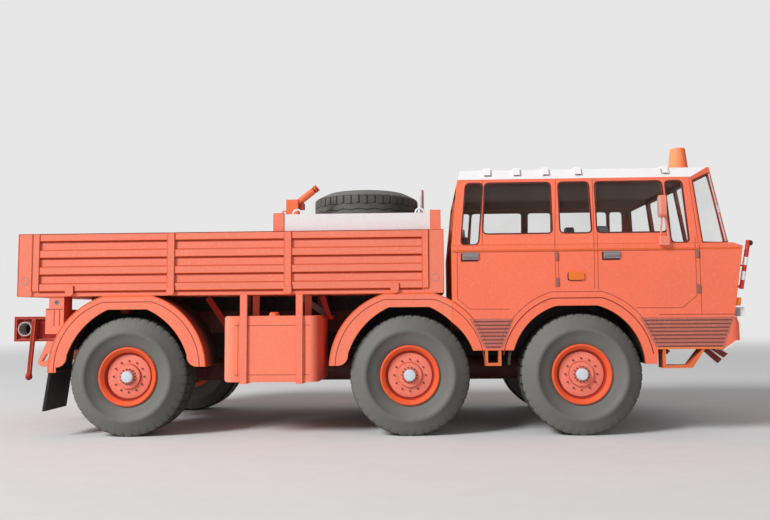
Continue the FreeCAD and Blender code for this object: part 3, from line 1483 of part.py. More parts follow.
# Width rods lean forward from the front corners of the nose, each with a ball on top.
rod_radius = cell("rod_radius", 0.55)
rod_rise = cell("rod_rise", 8.4)
rod_overshoot = cell("rod_overshoot", 0.3)
rod_inset = cell("rod_inset", 1.6)
rod_lean = cell("rod_lean", 3.1)
rod_tilt = 12.4
rod_slope_share = 1.024
rod_y = half - rod_inset
rod_bottom = bumper_top + rod_rise
rod_top = belt + rod_overshoot
rod_top_x = cab_front + rod_lead
rod_foot_x = rod_top_x - rod_lean
rod = doc.addObject("Part::Cylinder", "width_rod")
rod.Placement.Rotation = FreeCAD.Rotation(FreeCAD.Vector(0, 1, 0), rod_tilt)
bind(rod, "Radius", rod_radius)
bind(rod, "Height", (rod_top - rod_bottom) * rod_slope_share)
move(rod, rod_foot_x, -rod_y, rod_bottom)
rod_end = ball("width_rod_ball", rod_ball, rod_top_x, -rod_y, rod_top)
clip = block("width_rod_clip", (cab_front - nose_rake, rod_foot_x + rod_radius),
             (-rod_y - rod_radius, rod_radius - rod_y), (rod_bottom, rod_bottom + rod_radius * 2))
keep("width_rods", pair("width_rods_both", join("width_rod_solid", rod, rod_end,
                                                cut("rod_clip", clip, nose_back))))

# Steps: bent strips under the sill, one behind the front wheel and one ahead of it.
step_strip = cell("step_strip", 0.8)
step_depth = cell("step_depth", 5.0)
step_inset = cell("step_inset", 0.3)
step_drop = cell("step_drop", 5.6)
rear_step_drop = cell("rear_step_drop", 4.6)
rear_step_length = cell("rear_step_length", 4.8)
rear_step_gap = cell("rear_step_gap", 3.6)
front_step_gap = cell("front_step_gap", 1.1)
front_step_length = cell("front_step_length", 8.6)
front_step_slant = cell("front_step_slant", 3.8)


def step(name, x, length, slant, drop):
    """A strip bent down, across and up again to the sill."""
    low = sill_bottom - drop
    return plate(name, "XZ_Plane", half - step_inset - step_depth, step_depth, [
        (x, sill_bottom),
        (x, low),
        (x + length, low),
        (x + length + slant, sill_bottom),
        (x + length + slant - step_strip, sill_bottom),
        (x + length - step_strip, low + step_strip),
        (x + step_strip, low + step_strip),
        (x + step_strip, sill_bottom),
    ])


keep("cab_steps", pair("cab_steps_all", group(
    "cab_steps_right",
    step("front_step", arch_right + arch_band + front_step_gap, front_step_length,
         front_step_slant, step_drop),
    step("rear_step", middle_sill_x + rear_step_gap, rear_step_length, 0, rear_step_drop))))

# Front hooks: two bars at each side lean forward and down from under the bumper.
hook_thickness = cell("hook_thickness", 1.2)
inner_hook_y = cell("inner_hook_y", 25.0)
inner_hook_reach = cell("inner_hook_reach", 5.6)
inner_hook_drop = cell("inner_hook_drop", 5.0)
outer_hook_y = cell("outer_hook_y", 30.0)
outer_hook_reach = cell("outer_hook_reach", 4.4)
outer_hook_drop = cell("outer_hook_drop", 3.0)


def hook(name, x, y, reach, drop):
    """A bar that leans forward and down from the sill."""
    return plate(name, "XZ_Plane", y, hook_thickness, [
        (x, sill_bottom),
        (x + reach, sill_bottom - drop),
        (x + reach + hook_thickness, sill_bottom - drop + hook_thickness),
        (x + hook_thickness * 2, sill_bottom),
    ])


hook_x = step_back - bumper_length / 2
hooks = [hook("inner_hook", hook_x, inner_hook_y, inner_hook_reach, inner_hook_drop),
         hook("outer_hook", hook_x + hook_thickness, outer_hook_y, outer_hook_reach,
              outer_hook_drop)]
keep("tow_hooks", pair("tow_hooks_all", group("tow_hooks_right", loop_right, *hooks)))

doc.recompute()

failed = [item.Name for item in doc.Objects if "Invalid" in item.State or "Error" in item.State]
for label, piece in parts.items():
    if piece.Shape.isNull() or not piece.Shape.isValid() or not piece.Shape.Solids:
        failed.append(label)
if failed:
    raise RuntimeError("these objects failed: " + ", ".join(failed))

os.makedirs("parts", exist_ok=True)
for label, piece in parts.items():
    piece.Shape.exportStep(f"parts/{label}.step")
    box = piece.Shape.BoundBox
    print(f"{label}: {len(piece.Shape.Solids)} solids, {piece.Shape.Volume:.0f} mm3, "
          f"x {box.XMin:.1f} to {box.XMax:.1f}, y {box.YMin:.1f} to {box.YMax:.1f}, "
          f"z {box.ZMin:.1f} to {box.ZMax:.1f}")
print(len(parts), "sub-parts")
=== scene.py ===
import math

import bmesh
import bpy
from mathutils import Matrix, Vector


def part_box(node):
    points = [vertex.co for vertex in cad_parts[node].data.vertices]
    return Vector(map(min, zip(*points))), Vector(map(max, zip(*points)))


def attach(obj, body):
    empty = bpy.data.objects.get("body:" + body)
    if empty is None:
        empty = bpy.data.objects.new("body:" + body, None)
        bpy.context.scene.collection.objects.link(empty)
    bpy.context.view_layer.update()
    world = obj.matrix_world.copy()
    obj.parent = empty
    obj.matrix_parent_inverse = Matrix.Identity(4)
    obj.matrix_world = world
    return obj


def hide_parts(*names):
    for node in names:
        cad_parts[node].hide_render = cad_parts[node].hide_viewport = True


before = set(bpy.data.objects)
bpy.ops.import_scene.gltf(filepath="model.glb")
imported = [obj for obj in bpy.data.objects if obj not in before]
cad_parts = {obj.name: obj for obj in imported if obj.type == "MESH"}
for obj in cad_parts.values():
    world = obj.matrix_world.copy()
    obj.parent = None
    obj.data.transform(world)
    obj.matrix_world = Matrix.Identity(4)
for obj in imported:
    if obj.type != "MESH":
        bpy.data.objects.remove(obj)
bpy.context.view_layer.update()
scene = bpy.context.scene

# Camera: it stands level with the tops of the truck's wheels, a little ahead of the middle one,
# and looks slightly up. Lens, shift and angles are those that the wheels' outlines gave.
# Lengths in this file are millimetres from the middle axle, the centre plane and the floor.
MM = 0.001
axle_low, axle_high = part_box("middle_right_wheel")
middle_axle = (axle_low.x + axle_high.x) / 2
eye_place = (5.779, -270.024, 36.909)
eye_yaw, eye_pitch, eye_roll = 0.03596, 0.07804, -0.00861
eye_lens, eye_sensor, eye_shift = 35.648, 36, (-0.01984, -0.00811)
nearest = 0.01


def spot(x, y, z):
    """A point in the frame, in metres, from millimetres."""
    return Vector((middle_axle + x * MM, y * MM, z * MM))


def set_up(name, data):
    """A new object in the scene."""
    made = bpy.data.objects.new(name, data)
    scene.collection.objects.link(made)
    return made


eye_data = bpy.data.cameras.new("photo_eye")
eye_data.sensor_width = eye_sensor
eye_data.lens = eye_lens
eye_data.shift_x, eye_data.shift_y = eye_shift
eye_data.clip_start = nearest
eye = set_up("photo_eye", eye_data)
ahead = Vector((-math.sin(eye_yaw) * math.cos(eye_pitch),
                math.cos(eye_yaw) * math.cos(eye_pitch), math.sin(eye_pitch)))
level = ahead.cross(Vector((0, 0, 1))).normalized()
above = level.cross(ahead)
right = level * math.cos(eye_roll) + above * math.sin(eye_roll)
up = above * math.cos(eye_roll) - level * math.sin(eye_roll)
turn = Matrix((right, up, -ahead)).transposed()
eye.matrix_world = Matrix.Translation(spot(*eye_place)) @ turn.to_4x4()
scene.camera = eye

# Tyres: rings of laminated card, printed grey, with walls that slope to the rim in two steps. The
# tread is filed into blocks and crossed by zigzag cuts. Seven are alike, one for each wheel and
# one on the spare.
wheel_plane, axle_height = 31.95, 18.25
front_axle, rear_axle = 51.6, -86.4
spare_centre = (-15.82, 0, 71.8)
tread_radius, tread_bite, tread_blocks, tread_edge = 18.25, 0.18, 42, 5.1
block_shares = ((0, 0), (0.4, 0), (0.78, 0), (0.81, 1), (0.96, 1))
sharp_from = 35


def feed(tree, socket, value):
    """Gives a socket a number, a colour or another node's output."""
    if isinstance(value, bpy.types.NodeSocket):
        tree.links.new(value, socket)
    elif isinstance(value, tuple) and socket.type == "RGBA":
        socket.default_value = (*value, 1)
    else:
        socket.default_value = value


def place(tree, kind, inputs=None, **settings):
    """A shader node with its settings and its inputs fed."""
    made = tree.nodes.new("ShaderNode" + kind)
    for key, value in settings.items():
        setattr(made, key, value)
    for key, value in (inputs or {}).items():
        feed(tree, made.inputs[key], value)
    return made


def maths(tree, operation, *values, clamp=False):
    """The result of one sum on numbers and sockets."""
    made = place(tree, "Math", operation=operation, use_clamp=clamp)
    for number, value in enumerate(values):
        feed(tree, made.inputs[number], value)
    return made.outputs[0]


def blended(tree, share, first, second):
    """Two colours laid over each other by a share."""
    return place(tree, "Mix", {0: share, 6: first, 7: second}, data_type="RGBA").outputs[2]


def effect(name, inputs, outputs):
    """A node group with named inputs and outputs."""
    tree = bpy.data.node_groups.new(name, "ShaderNodeTree")
    for label, value in inputs.items():
        kind = "NodeSocketColor" if isinstance(value, tuple) else "NodeSocketFloat"
        socket = tree.interface.new_socket(name=label, in_out="INPUT", socket_type=kind)
        socket.default_value = (*value, 1) if isinstance(value, tuple) else value
    for label, kind in outputs.items():
        tree.interface.new_socket(name=label, in_out="OUTPUT", socket_type="NodeSocket" + kind)
    return tree, tree.nodes.new("NodeGroupInput").outputs, tree.nodes.new("NodeGroupOutput").inputs


def clouds(tree, where, scale, detail=2.0, distortion=0.0):
    """Soft random patches, from 0 to 1."""
    return place(tree, "TexNoise", {"Vector": where, "Scale": scale, "Detail": detail,
                                    "Distortion": distortion}).outputs["Fac"]


def spots(tree):
    """Where the points of a surface lie, in metres."""
    return place(tree, "TexCoord").outputs["Object"]


def looks(tree, kind="Normal"):
    """Which way the points of a surface look."""
    return place(tree, "NewGeometry").outputs[kind]


def split(tree, vector):
    """The three numbers of a vector."""
    return place(tree, "SeparateXYZ", {0: vector}).outputs


# Ink on card: uneven ink, small flecks where the white fibres show, and the fibres' relief.
printed, given, result = effect(
    "printed_card",
    {"Ink": (0.8, 0.2, 0.1), "Bare Card": (0.8, 0.7, 0.65), "Mottle": 0.06, "Fleck": 0.06,
     "Bare": 0.06},
    {"Colour": "Color", "Roughness": "Float", "Relief": "Float"})
surface = spots(printed)
broad = clouds(printed, surface, 55, 4)
fleck = clouds(printed, surface, 1500, 3)
fibre = clouds(printed, surface, 900, 4, 1.6)
uneven = 0.5
for patches, label in ((broad, "Mottle"), (fleck, "Fleck")):
    uneven = maths(printed, "MULTIPLY_ADD", maths(printed, "SUBTRACT", patches, 0.5), given[label],
                   uneven)
laid = place(printed, "VectorMath", {0: given["Ink"], "Scale": maths(
    printed, "MULTIPLY", uneven, 2)}, operation="SCALE").outputs[0]
rubbed = maths(printed, "MULTIPLY", maths(printed, "SUBTRACT", fibre, 0.56), 9, clamp=True)
rubbed = maths(printed, "MULTIPLY", rubbed, given["Bare"])
feed(printed, result["Colour"], blended(printed, rubbed, laid, given["Bare Card"]))
feed(printed, result["Roughness"], maths(printed, "MULTIPLY_ADD", fibre, 0.22, 0.5))
feed(printed, result["Relief"], maths(printed, "MULTIPLY_ADD", fibre, 0.7,
                                      maths(printed, "MULTIPLY", broad, 0.3)))

# Cut edges: the card's edges, touched up by hand with a brush after cutting.
touched, given, result = effect(
    "touched_edges",
    {"Colour": (0.8, 0.2, 0.1), "Paint": (0.7, 0.1, 0.03), "Width": 0.00025, "Amount": 0.6},
    {"Colour": "Color"})
rounded = place(touched, "Bevel", {"Radius": given["Width"]}, samples=4).outputs[0]
alike = place(touched, "VectorMath", {0: rounded, 1: looks(touched)},
              operation="DOT_PRODUCT").outputs["Value"]
strokes = maths(touched, "MULTIPLY_ADD", clouds(touched, spots(touched), 260), 1.1, 0.4)
edge = maths(touched, "MULTIPLY", maths(touched, "SUBTRACT", 1, alike), 12, clamp=True)
edge = maths(touched, "MULTIPLY", maths(touched, "MULTIPLY", edge, strokes), given["Amount"],
             clamp=True)
feed(touched, result["Colour"], blended(touched, edge, given["Colour"], given["Paint"]))

# Dust: a pale film that settles in patches, more on faces that look up.
dusty, given, result = effect(
    "settled_dust", {"Colour": (0.2, 0.2, 0.2), "Dust": (0.4, 0.37, 0.33), "Amount": 0.2},
    {"Colour": "Color"})
lift = maths(dusty, "MULTIPLY_ADD", split(dusty, looks(dusty))[2], 0.35, 0.65, clamp=True)
patch = maths(dusty, "SUBTRACT", clouds(dusty, spots(dusty), 120, 4), 0.38)
patch = maths(dusty, "MULTIPLY", maths(dusty, "MULTIPLY", patch, 3, clamp=True), lift)
feed(dusty, result["Colour"], blended(dusty, maths(dusty, "MULTIPLY", patch, given["Amount"]),
                                      given["Colour"], given["Dust"]))

# Painted light and shade: faces that look forwards, away from the lamp, are painted a deep red as
# shade, and those that look back towards it are painted lighter as light.
light_and_shade, given, result = effect(
    "painted_light_and_shade", {"Colour": (0.8, 0.2, 0.1), "Deep": (0.4, 0.015, 0.008),
                    "Light": (0.95, 0.4, 0.28), "Amount": 0.8}, {"Colour": "Color"})
forwards = split(light_and_shade, looks(light_and_shade))[0]
colour = given["Colour"]
for label, gain in (("Light", -0.9), ("Deep", 1.5)):
    share = maths(light_and_shade, "MULTIPLY", maths(light_and_shade, "MULTIPLY", forwards, gain, clamp=True),
                  given["Amount"])
    colour = blended(light_and_shade, share, colour, given[label])
feed(light_and_shade, result["Colour"], colour)


def coated(tree, group, **inputs):
    """Lays a group's effect over a finish; underscores in the inputs' names stand for spaces."""
    return place(tree, "Group", {label.replace("_", " ").title(): value
                                 for label, value in inputs.items()}, node_tree=group).outputs


def paint_light_and_shade(deep=(0.4, 0.015, 0.008), light=(0.95, 0.4, 0.28)):
    """Painted shade where a finish looks forwards, painted light where it looks back."""
    return lambda tree, colour: coated(tree, light_and_shade, colour=colour, deep=deep, light=light)[0]


def blank(name):
    """A new finish and its tree of nodes."""
    made = bpy.data.materials.new(name)
    made.use_nodes = True
    return made, made.node_tree


def card(name, ink, paint=None, bare=(0.85, 0.72, 0.66), mottle=0.07, fleck=0.07, rub=0.07,
         touch=0.6, width=0.25, dust=0.0, bump=0.2, shade=None):
    """A card finish: printed ink, touched-up edges, dust, and a relief of fibres. shade adds to
    the colour before the dust and gets the tree and the colour so far."""
    made, tree = blank(name)
    shader = tree.nodes["Principled BSDF"].inputs
    colour, roughness, relief = coated(tree, printed, ink=ink, bare_card=bare, mottle=mottle,
                                       fleck=fleck, bare=rub)
    if shade:
        colour = shade(tree, colour)
    if paint:
        colour = coated(tree, touched, colour=colour, paint=paint, width=width * MM,
                        amount=touch)[0]
    if dust:
        colour = coated(tree, dusty, colour=colour, amount=dust)[0]
    feed(tree, shader["Base Color"], colour)
    feed(tree, shader["Roughness"], roughness)
    feed(tree, shader["Normal"], place(tree, "Bump", {"Height": relief, "Strength": bump,
                                                      "Distance": 0.06 * MM}).outputs[0])
    shader["Specular IOR Level"].default_value = 0.3
    return made


def circle(x, z, radius, steps=28, start=0.0):
    """Points round a circle."""
    return [(x + radius * math.cos(start + math.tau * n / steps),
             z + radius * math.sin(start + math.tau * n / steps)) for n in range(steps)]


def even_turn(steps):
    """The angles of an even turn on the lathe, none of which gives."""
    return [(math.tau * n / steps, 0) for n in range(steps)]


def oblong(left, low, right, high):
    """The corners of an upright oblong."""
    return [(left, low), (right, low), (right, high), (left, high)]


def neighbours(path, closed):
    """Each point of a path between the one before and the one after it."""
    last = len(path) - 1
    return [(path[n - 1] if n or closed else here, here,
             path[(n + 1) % len(path)] if n < last or closed else here)
            for n, here in enumerate(path)]


class Shape:
    """The points and faces of a piece while it is put together, in millimetres."""

    def __init__(self):
        self.points, self.faces, self.inks = [], [], []

    def add(self, points, faces, inks):
        first = len(self.points)
        self.points += [Vector(point) for point in points]
        self.faces += [[first + corner for corner in face] for face in faces]
        self.inks += inks if isinstance(inks, list) else [inks] * len(faces)

    def skin(self, rings, closed, inks):
        """Joins rings of points in a row, and fills both ends if the row isn't closed. A list
        holds an ink for each side of a ring."""
        sides, total = len(rings[0]), len(rings)
        faces = []
        for n in range(total if closed else total - 1):
            here, there = n * sides, (n + 1) % total * sides
            faces += [(here + k, here + (k + 1) % sides, there + (k + 1) % sides, there + k)
                      for k in range(sides)]
        if not closed:
            last = (total - 1) * sides
            faces += [tuple(range(sides))[::-1], tuple(range(last, last + sides))]
        self.add([point for ring in rings for point in ring], faces,
                 inks * total if isinstance(inks, list) else inks)

    def lathe(self, section, turn, inks=0):
        """A closed section of (across, radius) turned about the Y axis. A third number is how far
        a point may give; each step of the turn is an angle and the share by which they give."""
        section = [(*point, 0)[:3] for point in section]
        self.skin([[((radius - give * bite) * math.cos(angle), across,
                     (radius - give * bite) * math.sin(angle)) for across, radius, give in section]
                   for angle, bite in turn], True, inks)

    def prism(self, outline, low, high, where, ink=0):
        """A flat outline raised from one level to another on the surface that where gives."""
        self.skin([[where(u, v, level) for u, v in outline] for level in (low, high)], False, ink)

    def line(self, path, width, low, high, where, ink=0, closed=False):
        """A line of that width along a path, raised from one level to another."""
        rings = []
        for before, here, after in neighbours(path, closed):
            sides = []
            for start, end in ((before, here), (here, after)):
                run = Vector((end[0] - start[0], end[1] - start[1]))
                if run.length > 0:
                    sides.append(Vector((-run.y, run.x)) / run.length)
            normal = (sides[0] + sides[-1]).normalized()
            normal *= width / 2 / max(0.4, normal.dot(sides[0]))
            rings.append([where(here[0] + normal.x * hand, here[1] + normal.y * hand, level)
                          for level, hand in ((low, 1), (high, 1), (high, -1), (low, -1))])
        self.skin(rings, closed, ink)

    def block(self, low, high, ink=0):
        """An upright box from its lowest to its highest corner."""
        self.prism(oblong(*low[:2], *high[:2]), low[2], high[2], from_above, ink)

    def tube(self, path, radius, sides=12, ink=0, closed=False):
        """A round bar along a path of points; a radius for each point may be given."""
        path = [Vector(point) for point in path]
        radii = radius if isinstance(radius, list) else [radius] * len(path)
        guide, rings = Vector((0, 0, 1)), []
        for (before, here, after), thick in zip(neighbours(path, closed), radii):
            run = (after - before).normalized()
            if abs(run.dot(guide)) > 0.9:
                guide = Vector((0, 1, 0)) if abs(run.y) < 0.9 else Vector((1, 0, 0))
            guide = (guide - run * guide.dot(run)).normalized()
            other = run.cross(guide)
            rings.append([here + (guide * u + other * v) * thick
                          for u, v in circle(0, 0, 1, sides)])
        self.skin(rings, closed, ink)

    def mirrored(self, hands=(-1, 1)):
        """The shape as drawn for the left side, for hand 1, and its mirror image, for hand -1."""
        whole = Shape()
        for hand in hands:
            whole.add([(x, hand * y, z) for x, y, z in self.points], self.faces, self.inks)
        return whole


def finished(name, shape, inks, slot="red_card", body="truck", stands_for=None, at=(0, 0, 0),
             facing=Matrix(), bevel=0.0):
    """Makes the piece from its shape, puts it in its place and lets it ride on its body."""
    mesh = shape
    if isinstance(shape, Shape):
        mesh = bpy.data.meshes.new(name)
        mesh.from_pydata([point * MM for point in shape.points], [], shape.faces)
        for ink in inks:
            mesh.materials.append(ink)
        mesh.polygons.foreach_set("material_index", shape.inks)
        work = bmesh.new()
        work.from_mesh(mesh)
        bmesh.ops.remove_doubles(work, verts=work.verts, dist=1e-7)
        bmesh.ops.recalc_face_normals(work, faces=work.faces)
        work.to_mesh(mesh)
        work.free()
        mesh.shade_smooth()
        mesh.set_sharp_from_angle(angle=math.radians(sharp_from))
    piece = set_up(name, mesh)
    piece.matrix_world = Matrix.Translation(spot(*at)) @ facing
    if bevel:
        soft = piece.modifiers.new("soft_edges", "BEVEL")
        soft.width = bevel * MM
        soft.segments = 2
        soft.limit_method = "ANGLE"
    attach(piece, body)
    if stands_for:
        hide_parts(stands_for)
    return piece


def on_wheels(name, shape, inks, slot, part):
    """Puts a piece on each wheel and on the spare, in place of that part of the wheel."""
    mesh = shape
    for end, x in (("front", front_axle), ("middle", 0), ("rear", rear_axle)):
        for side, y, turned in (("right", -wheel_plane, math.pi), ("left", wheel_plane, 0)):
            mesh = finished(f"{end}_{side}_{name}", mesh, inks, slot, f"wheel_{end}_{side}",
                            f"{end}_{side}_{part}", (x, y, axle_height),
                            Matrix.Rotation(turned, 4, "Z")).data
    finished(f"spare_{name}", mesh, inks, slot, "truck", f"spare_{part}", spare_centre,
             Matrix.Rotation(math.pi / 2, 4, "X"))


def arc(start, middle, end, steps):
    """Points on the circle through three points, from the start to the end."""
    (ax, ay), (bx, by), (cx, cy) = start, middle, end
    d = 2 * (ax * (by - cy) + bx * (cy - ay) + cx * (ay - by))
    a, b, c = ax * ax + ay * ay, bx * bx + by * by, cx * cx + cy * cy
    ux = (a * (by - cy) + b * (cy - ay) + c * (ay - by)) / d
    uy = (a * (cx - bx) + b * (ax - cx) + c * (bx - ax)) / d
    radius = math.hypot(ax - ux, ay - uy)
    first, mid, last = (math.atan2(y - uy, x - ux) for x, y in (start, middle, end))
    sweep = (last - first) % math.tau
    if (mid - first) % math.tau > sweep:
        sweep -= math.tau
    return [(ux + radius * math.cos(first + sweep * n / steps),
             uy + radius * math.sin(first + sweep * n / steps)) for n in range(steps + 1)]


def on_tread(along, across, out):
    """Wraps a point round the tread."""
    radius, angle = tread_radius + out, along / tread_radius
    return radius * math.cos(angle), across, radius * math.sin(angle)


tyre_half = [(5.4, 8.8), (5.55, 9.0), (6.15, 10.8),
             *arc((6.72, 12.5), (7.1, 13.35), (6.82, 14.3), 8), (6.1, 15.9), (5.35, 17.3),
             (5.15, 17.6, tread_bite), (4.85, 18.0, tread_bite), (4.55, 18.2, tread_bite),
             (4.2, tread_radius, tread_bite), (2.1, tread_radius, tread_bite), (2.0, 18.22)]
tyre_section = tyre_half + [(-point[0], *point[1:]) for point in reversed(tyre_half)]
tyre_shape = Shape()
tyre_shape.lathe(tyre_section, [(math.tau * (number + share) / tread_blocks, bite)
                                for number in range(tread_blocks) for share, bite in block_shares],
                 [int(abs(point[0]) < tread_edge) for point in tyre_section])
girth = math.tau * tread_radius - 0.1
for centre in (-2.05, 0, 2.05):
    tyre_shape.line([(girth * n / tread_blocks, centre + (0.24 if n % 2 else -0.24))
                     for n in range(tread_blocks + 1)], 0.36, -0.12, 0.03, on_tread, 2)


def cut_deep(tree, colour):
    """Paints shade and light on the tread by which way it looks, and blackens its cuts' floors."""
    across = place(tree, "VectorMath", {0: spots(tree), 1: (1 / MM, 0, 1 / MM)},
                   operation="MULTIPLY").outputs[0]
    radius = place(tree, "VectorMath", {0: across}, operation="LENGTH").outputs["Value"]
    return blended(tree, maths(tree, "LESS_THAN", radius, tread_radius - 0.09),
                   paint_light_and_shade((0.02, 0.02, 0.019), (0.13, 0.128, 0.12))(tree, colour),
                   (0.012, 0.012, 0.011))


# The walls and the tread get painted shade where they look forwards and painted light where they
# look back.
tyre_print = card("tyre_print", (0.142, 0.140, 0.130), bare=(0.3, 0.29, 0.27), mottle=0.12,
                  fleck=0.08, rub=0.1, dust=0.06, bump=0.35,
                  shade=paint_light_and_shade((0.048, 0.048, 0.045), (0.205, 0.203, 0.188)))
tread_print = card("tread_print", (0.085, 0.084, 0.079), bare=(0.22, 0.22, 0.2), mottle=0.2,
                   fleck=0.2, rub=0.1, dust=0.1, bump=0.5, shade=cut_deep)
seam_ink = card("seam_ink", (0.014, 0.013, 0.012), rub=0.0)
on_wheels("tyre_ring", tyre_shape, [tyre_print, tread_print, seam_ink], "tyre_card", "tyre")

# Wheel discs: card discs on a rolled rim ring, with a sunk groove, a raised hub, a ring of nuts,
# a ring of studs and a white cap. The rim ring and the edges are painted a brighter red; the groove
# and the hub's side are painted a deep red as shade.


def from_side(x, z, y):
    """Puts a point of an outline that is drawn from the side."""
    return x, y, z


disc_parts = [
    ([(-3.0, 1.55), (-3.0, 3.0), (2.4, 3.0), (2.4, 7.6)], 1),
    ([(-6.3, 7.6), (-6.3, 9.2), (-5.4, 9.2), (-5.4, 8.8), (5.4, 8.8), (5.5, 9.0),
      *arc((5.75, 9.02), (6.25, 8.75), (6.1, 8.3), 6), (5.75, 7.85)], 0),
    ([(5.2, 7.45), (4.5, 7.1), (4.2, 7.05), (4.2, 6.75)], 1),
    ([(4.4, 6.7), (4.5, 6.55), (4.5, 4.0)], 2),
    ([(4.5, 3.78)], 1),
    ([(5.1, 3.7), (5.3, 3.5), (5.3, 2.85)], 2),
    ([(5.3, 1.85)], 3),
    ([(5.7, 1.8), (6.45, 1.76), (6.62, 1.62), (6.68, 1.35), (6.68, 0)], 4),
    ([(3.05, 0), (3.05, 1.55)], 1),
]
disc_shape = Shape()
disc_shape.lathe([point for points, ink in disc_parts for point in points], even_turn(96),
                 [ink for points, ink in disc_parts for point in points])
for count, ring, size, low, high in ((12, 4.78, 0.27, 4.4, 4.85), (14, 2.3, 0.2, 5.2, 5.75)):
    for n, (x, z) in enumerate(circle(0, 0, ring, count)):
        disc_shape.prism(circle(x, z, size, 6, math.tau * n / count), low, high, from_side, 5)
rim_paint = card("rim_paint", (0.86, 0.11, 0.032), (0.9, 0.22, 0.09), rub=0.03)
# Painted shade for the groove and the hub's side.
groove_painted_shade = card("groove_painted_shade", (0.42, 0.035, 0.02), rub=0.0)
disc_print = card("disc_print", (0.90, 0.23, 0.155), (0.6, 0.08, 0.03), rub=0.08)
hub_print = card("hub_print", (0.50, 0.13, 0.10), rub=0.1)
cap_card = card("cap_card", (0.62, 0.68, 0.75), (0.5, 0.5, 0.55), rub=0.05)
nut_ink = card("nut_ink", (0.17, 0.045, 0.045), rub=0.05)
on_wheels("wheel_disc", disc_shape, [rim_paint, groove_painted_shade, disc_print, hub_print, cap_card,
                                     nut_ink], "wheel_card", "wheel")

# Running gear: rolled card tubes and folded card rails, painted a dull dark red that is nearly
# black in the shade under the bed. The axles and the bearers are glued to them.
gear_paint = card("gear_paint", (0.10, 0.022, 0.016), (0.2, 0.04, 0.02), mottle=0.3, rub=0.05,
                  dust=0.2)


def dress(finish, *names):
    """Gives CAD parts that keep their shape a finish."""
    for name in names:
        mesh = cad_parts[name].data
        mesh.materials.clear()
        mesh.materials.append(finish)
        mesh.polygons.foreach_set("material_index", [0] * len(mesh.polygons))


dress(gear_paint, "backbone_tube", "frame_rails", "cross_bearers", "front_axle", "middle_axle",
      "rear_axle")

# Bed: a box of thin card with strips glued on as pressed ribs, stakes between the drop sides
# and folded posts at its corners. Every joint is followed by a printed dark line, and painted
# shadows lie under the ribs and beside each stake on the side away from the light.
bed_red = card("bed_print", (0.86, 0.212, 0.132), (0.84, 0.135, 0.012), width=0.5, touch=1.0)
dress(bed_red, "bed_side_right", "bed_side_left", "tailgate", "bed_posts", "headboard",
      "ballast_wall", "bed_floor")
line_ink = card("line_ink", (0.27, 0.03, 0.018), rub=0.03)
faint_ink = card("faint_ink", (0.45, 0.10, 0.07), rub=0.03)
grey_ink = card("grey_ink", (0.42, 0.27, 0.26), rub=0.03)
shadow_ink = card("shadow_ink", (0.52, 0.055, 0.02), rub=0.03)
edge_ink = card("edge_ink", (0.86, 0.135, 0.03), rub=0.03)
half_width, belt, gutter, side_lean = 39.05, 57.3, 77.9, 3.0
bed_rear, bed_front = -121.0, 10.7
floor_low, floor_top, bed_top = 43.0, 44.6, 62.4
line_top = bed_top - 0.1
rib_rows = (44.6, 49.77, 54.93, 60.1)
rib_height, rib_width = 0.5, 2.3
uprights = ((-116.4, -114.3), (-74.31, -72.01), (-38.17, -35.87), (4.0, 6.1))
line_sunk, line_proud = -0.04, 0.05


def on_side(face=half_width):
    """Puts a point on the truck's left side: along it, up it, and out from its face. Above the
    belt the cab's sides lean in."""
    def where(x, z, out):
        lean_in = max(0.0, z - belt) / (gutter - belt) * side_lean if x > bed_front + 2 else 0
        return x, face - lean_in + out, z
    return where


def on_back(face):
    """Puts a point on a wall that looks back: across it, up it, and out from its face."""
    return lambda y, z, out: (face - out, y, z)


def inked(shape, paths, width, where, ink=0, closed=False):
    """Lines of one width along several paths, barely proud of the card."""
    for path in paths:
        shape.line(path, width, line_sunk, line_proud, where, ink, closed)


def rise(x, low=floor_top, high=bed_top):
    """An upright line."""
    return [(x, low), (x, high)]


def run(z, left, right):
    """A level line."""
    return [(left, z), (right, z)]


def finished_pair(name, shape, inks, **how):
    """Finishes a shape drawn for the left side, and its mirror image on the right."""
    for side, hand in (("right", -1), ("left", 1)):
        finished(f"{name}_{side}", shape.mirrored([hand]), inks, **how)


drawn = Shape()
face, recess = on_side(), on_side(half_width - rib_height)
for (rear, start), (end, front) in zip(uprights, uprights[1:]):
    # Painted shadow: a broad dark band under each rib.
    inked(drawn, [run(z - 0.3, start, end) for z in rib_rows], 0.6, recess, 3)
    inked(drawn, [run(z - 0.06, start, end) for z in rib_rows], 0.14, recess)
    inked(drawn, [run(z + rib_width + 0.1, start, end) for z in rib_rows[:-1]], 0.2, recess, 1)
    inked(drawn, [run(z + edge, start + 0.1, end - 0.1) for z in rib_rows
                  for edge in (0.1, rib_width - 0.1)], 0.16, face, 4)
    inked(drawn, [rise(x, high=line_top) for x in (end + 0.12, front - 0.12)], 0.2, face, 4)
    # Painted shadow down the side of each stake away from the light.
    inked(drawn, [rise(start + 0.12, high=line_top)], 0.3, face)
first_stake, last_stake = uprights[0][0], uprights[-1][1]
inked(drawn, [rise(first_stake), rise(last_stake - 0.05)], 0.24, face)
inked(drawn, [rise(bed_rear + 0.3, floor_low + 0.1, bed_top - 0.2),
              run(bed_top - 0.12, bed_rear + 0.2, bed_front - 0.2)], 0.16, face, 1)
inked(drawn, [rise(bed_front - 0.2, floor_low + 0.2, bed_top - 0.2),
              rise(first_stake - 0.25, high=bed_top - 0.2),
              rise(last_stake + 0.25, high=bed_top - 0.2)], 0.26, face, 4)
inked(drawn, [circle(-118.64, 47.76, 1.15), circle(8.07, 47.67, 1.15)], 0.24, face, 2, True)
finished_pair("bed_lines", drawn, [line_ink, faint_ink, grey_ink, shadow_ink, edge_ink])

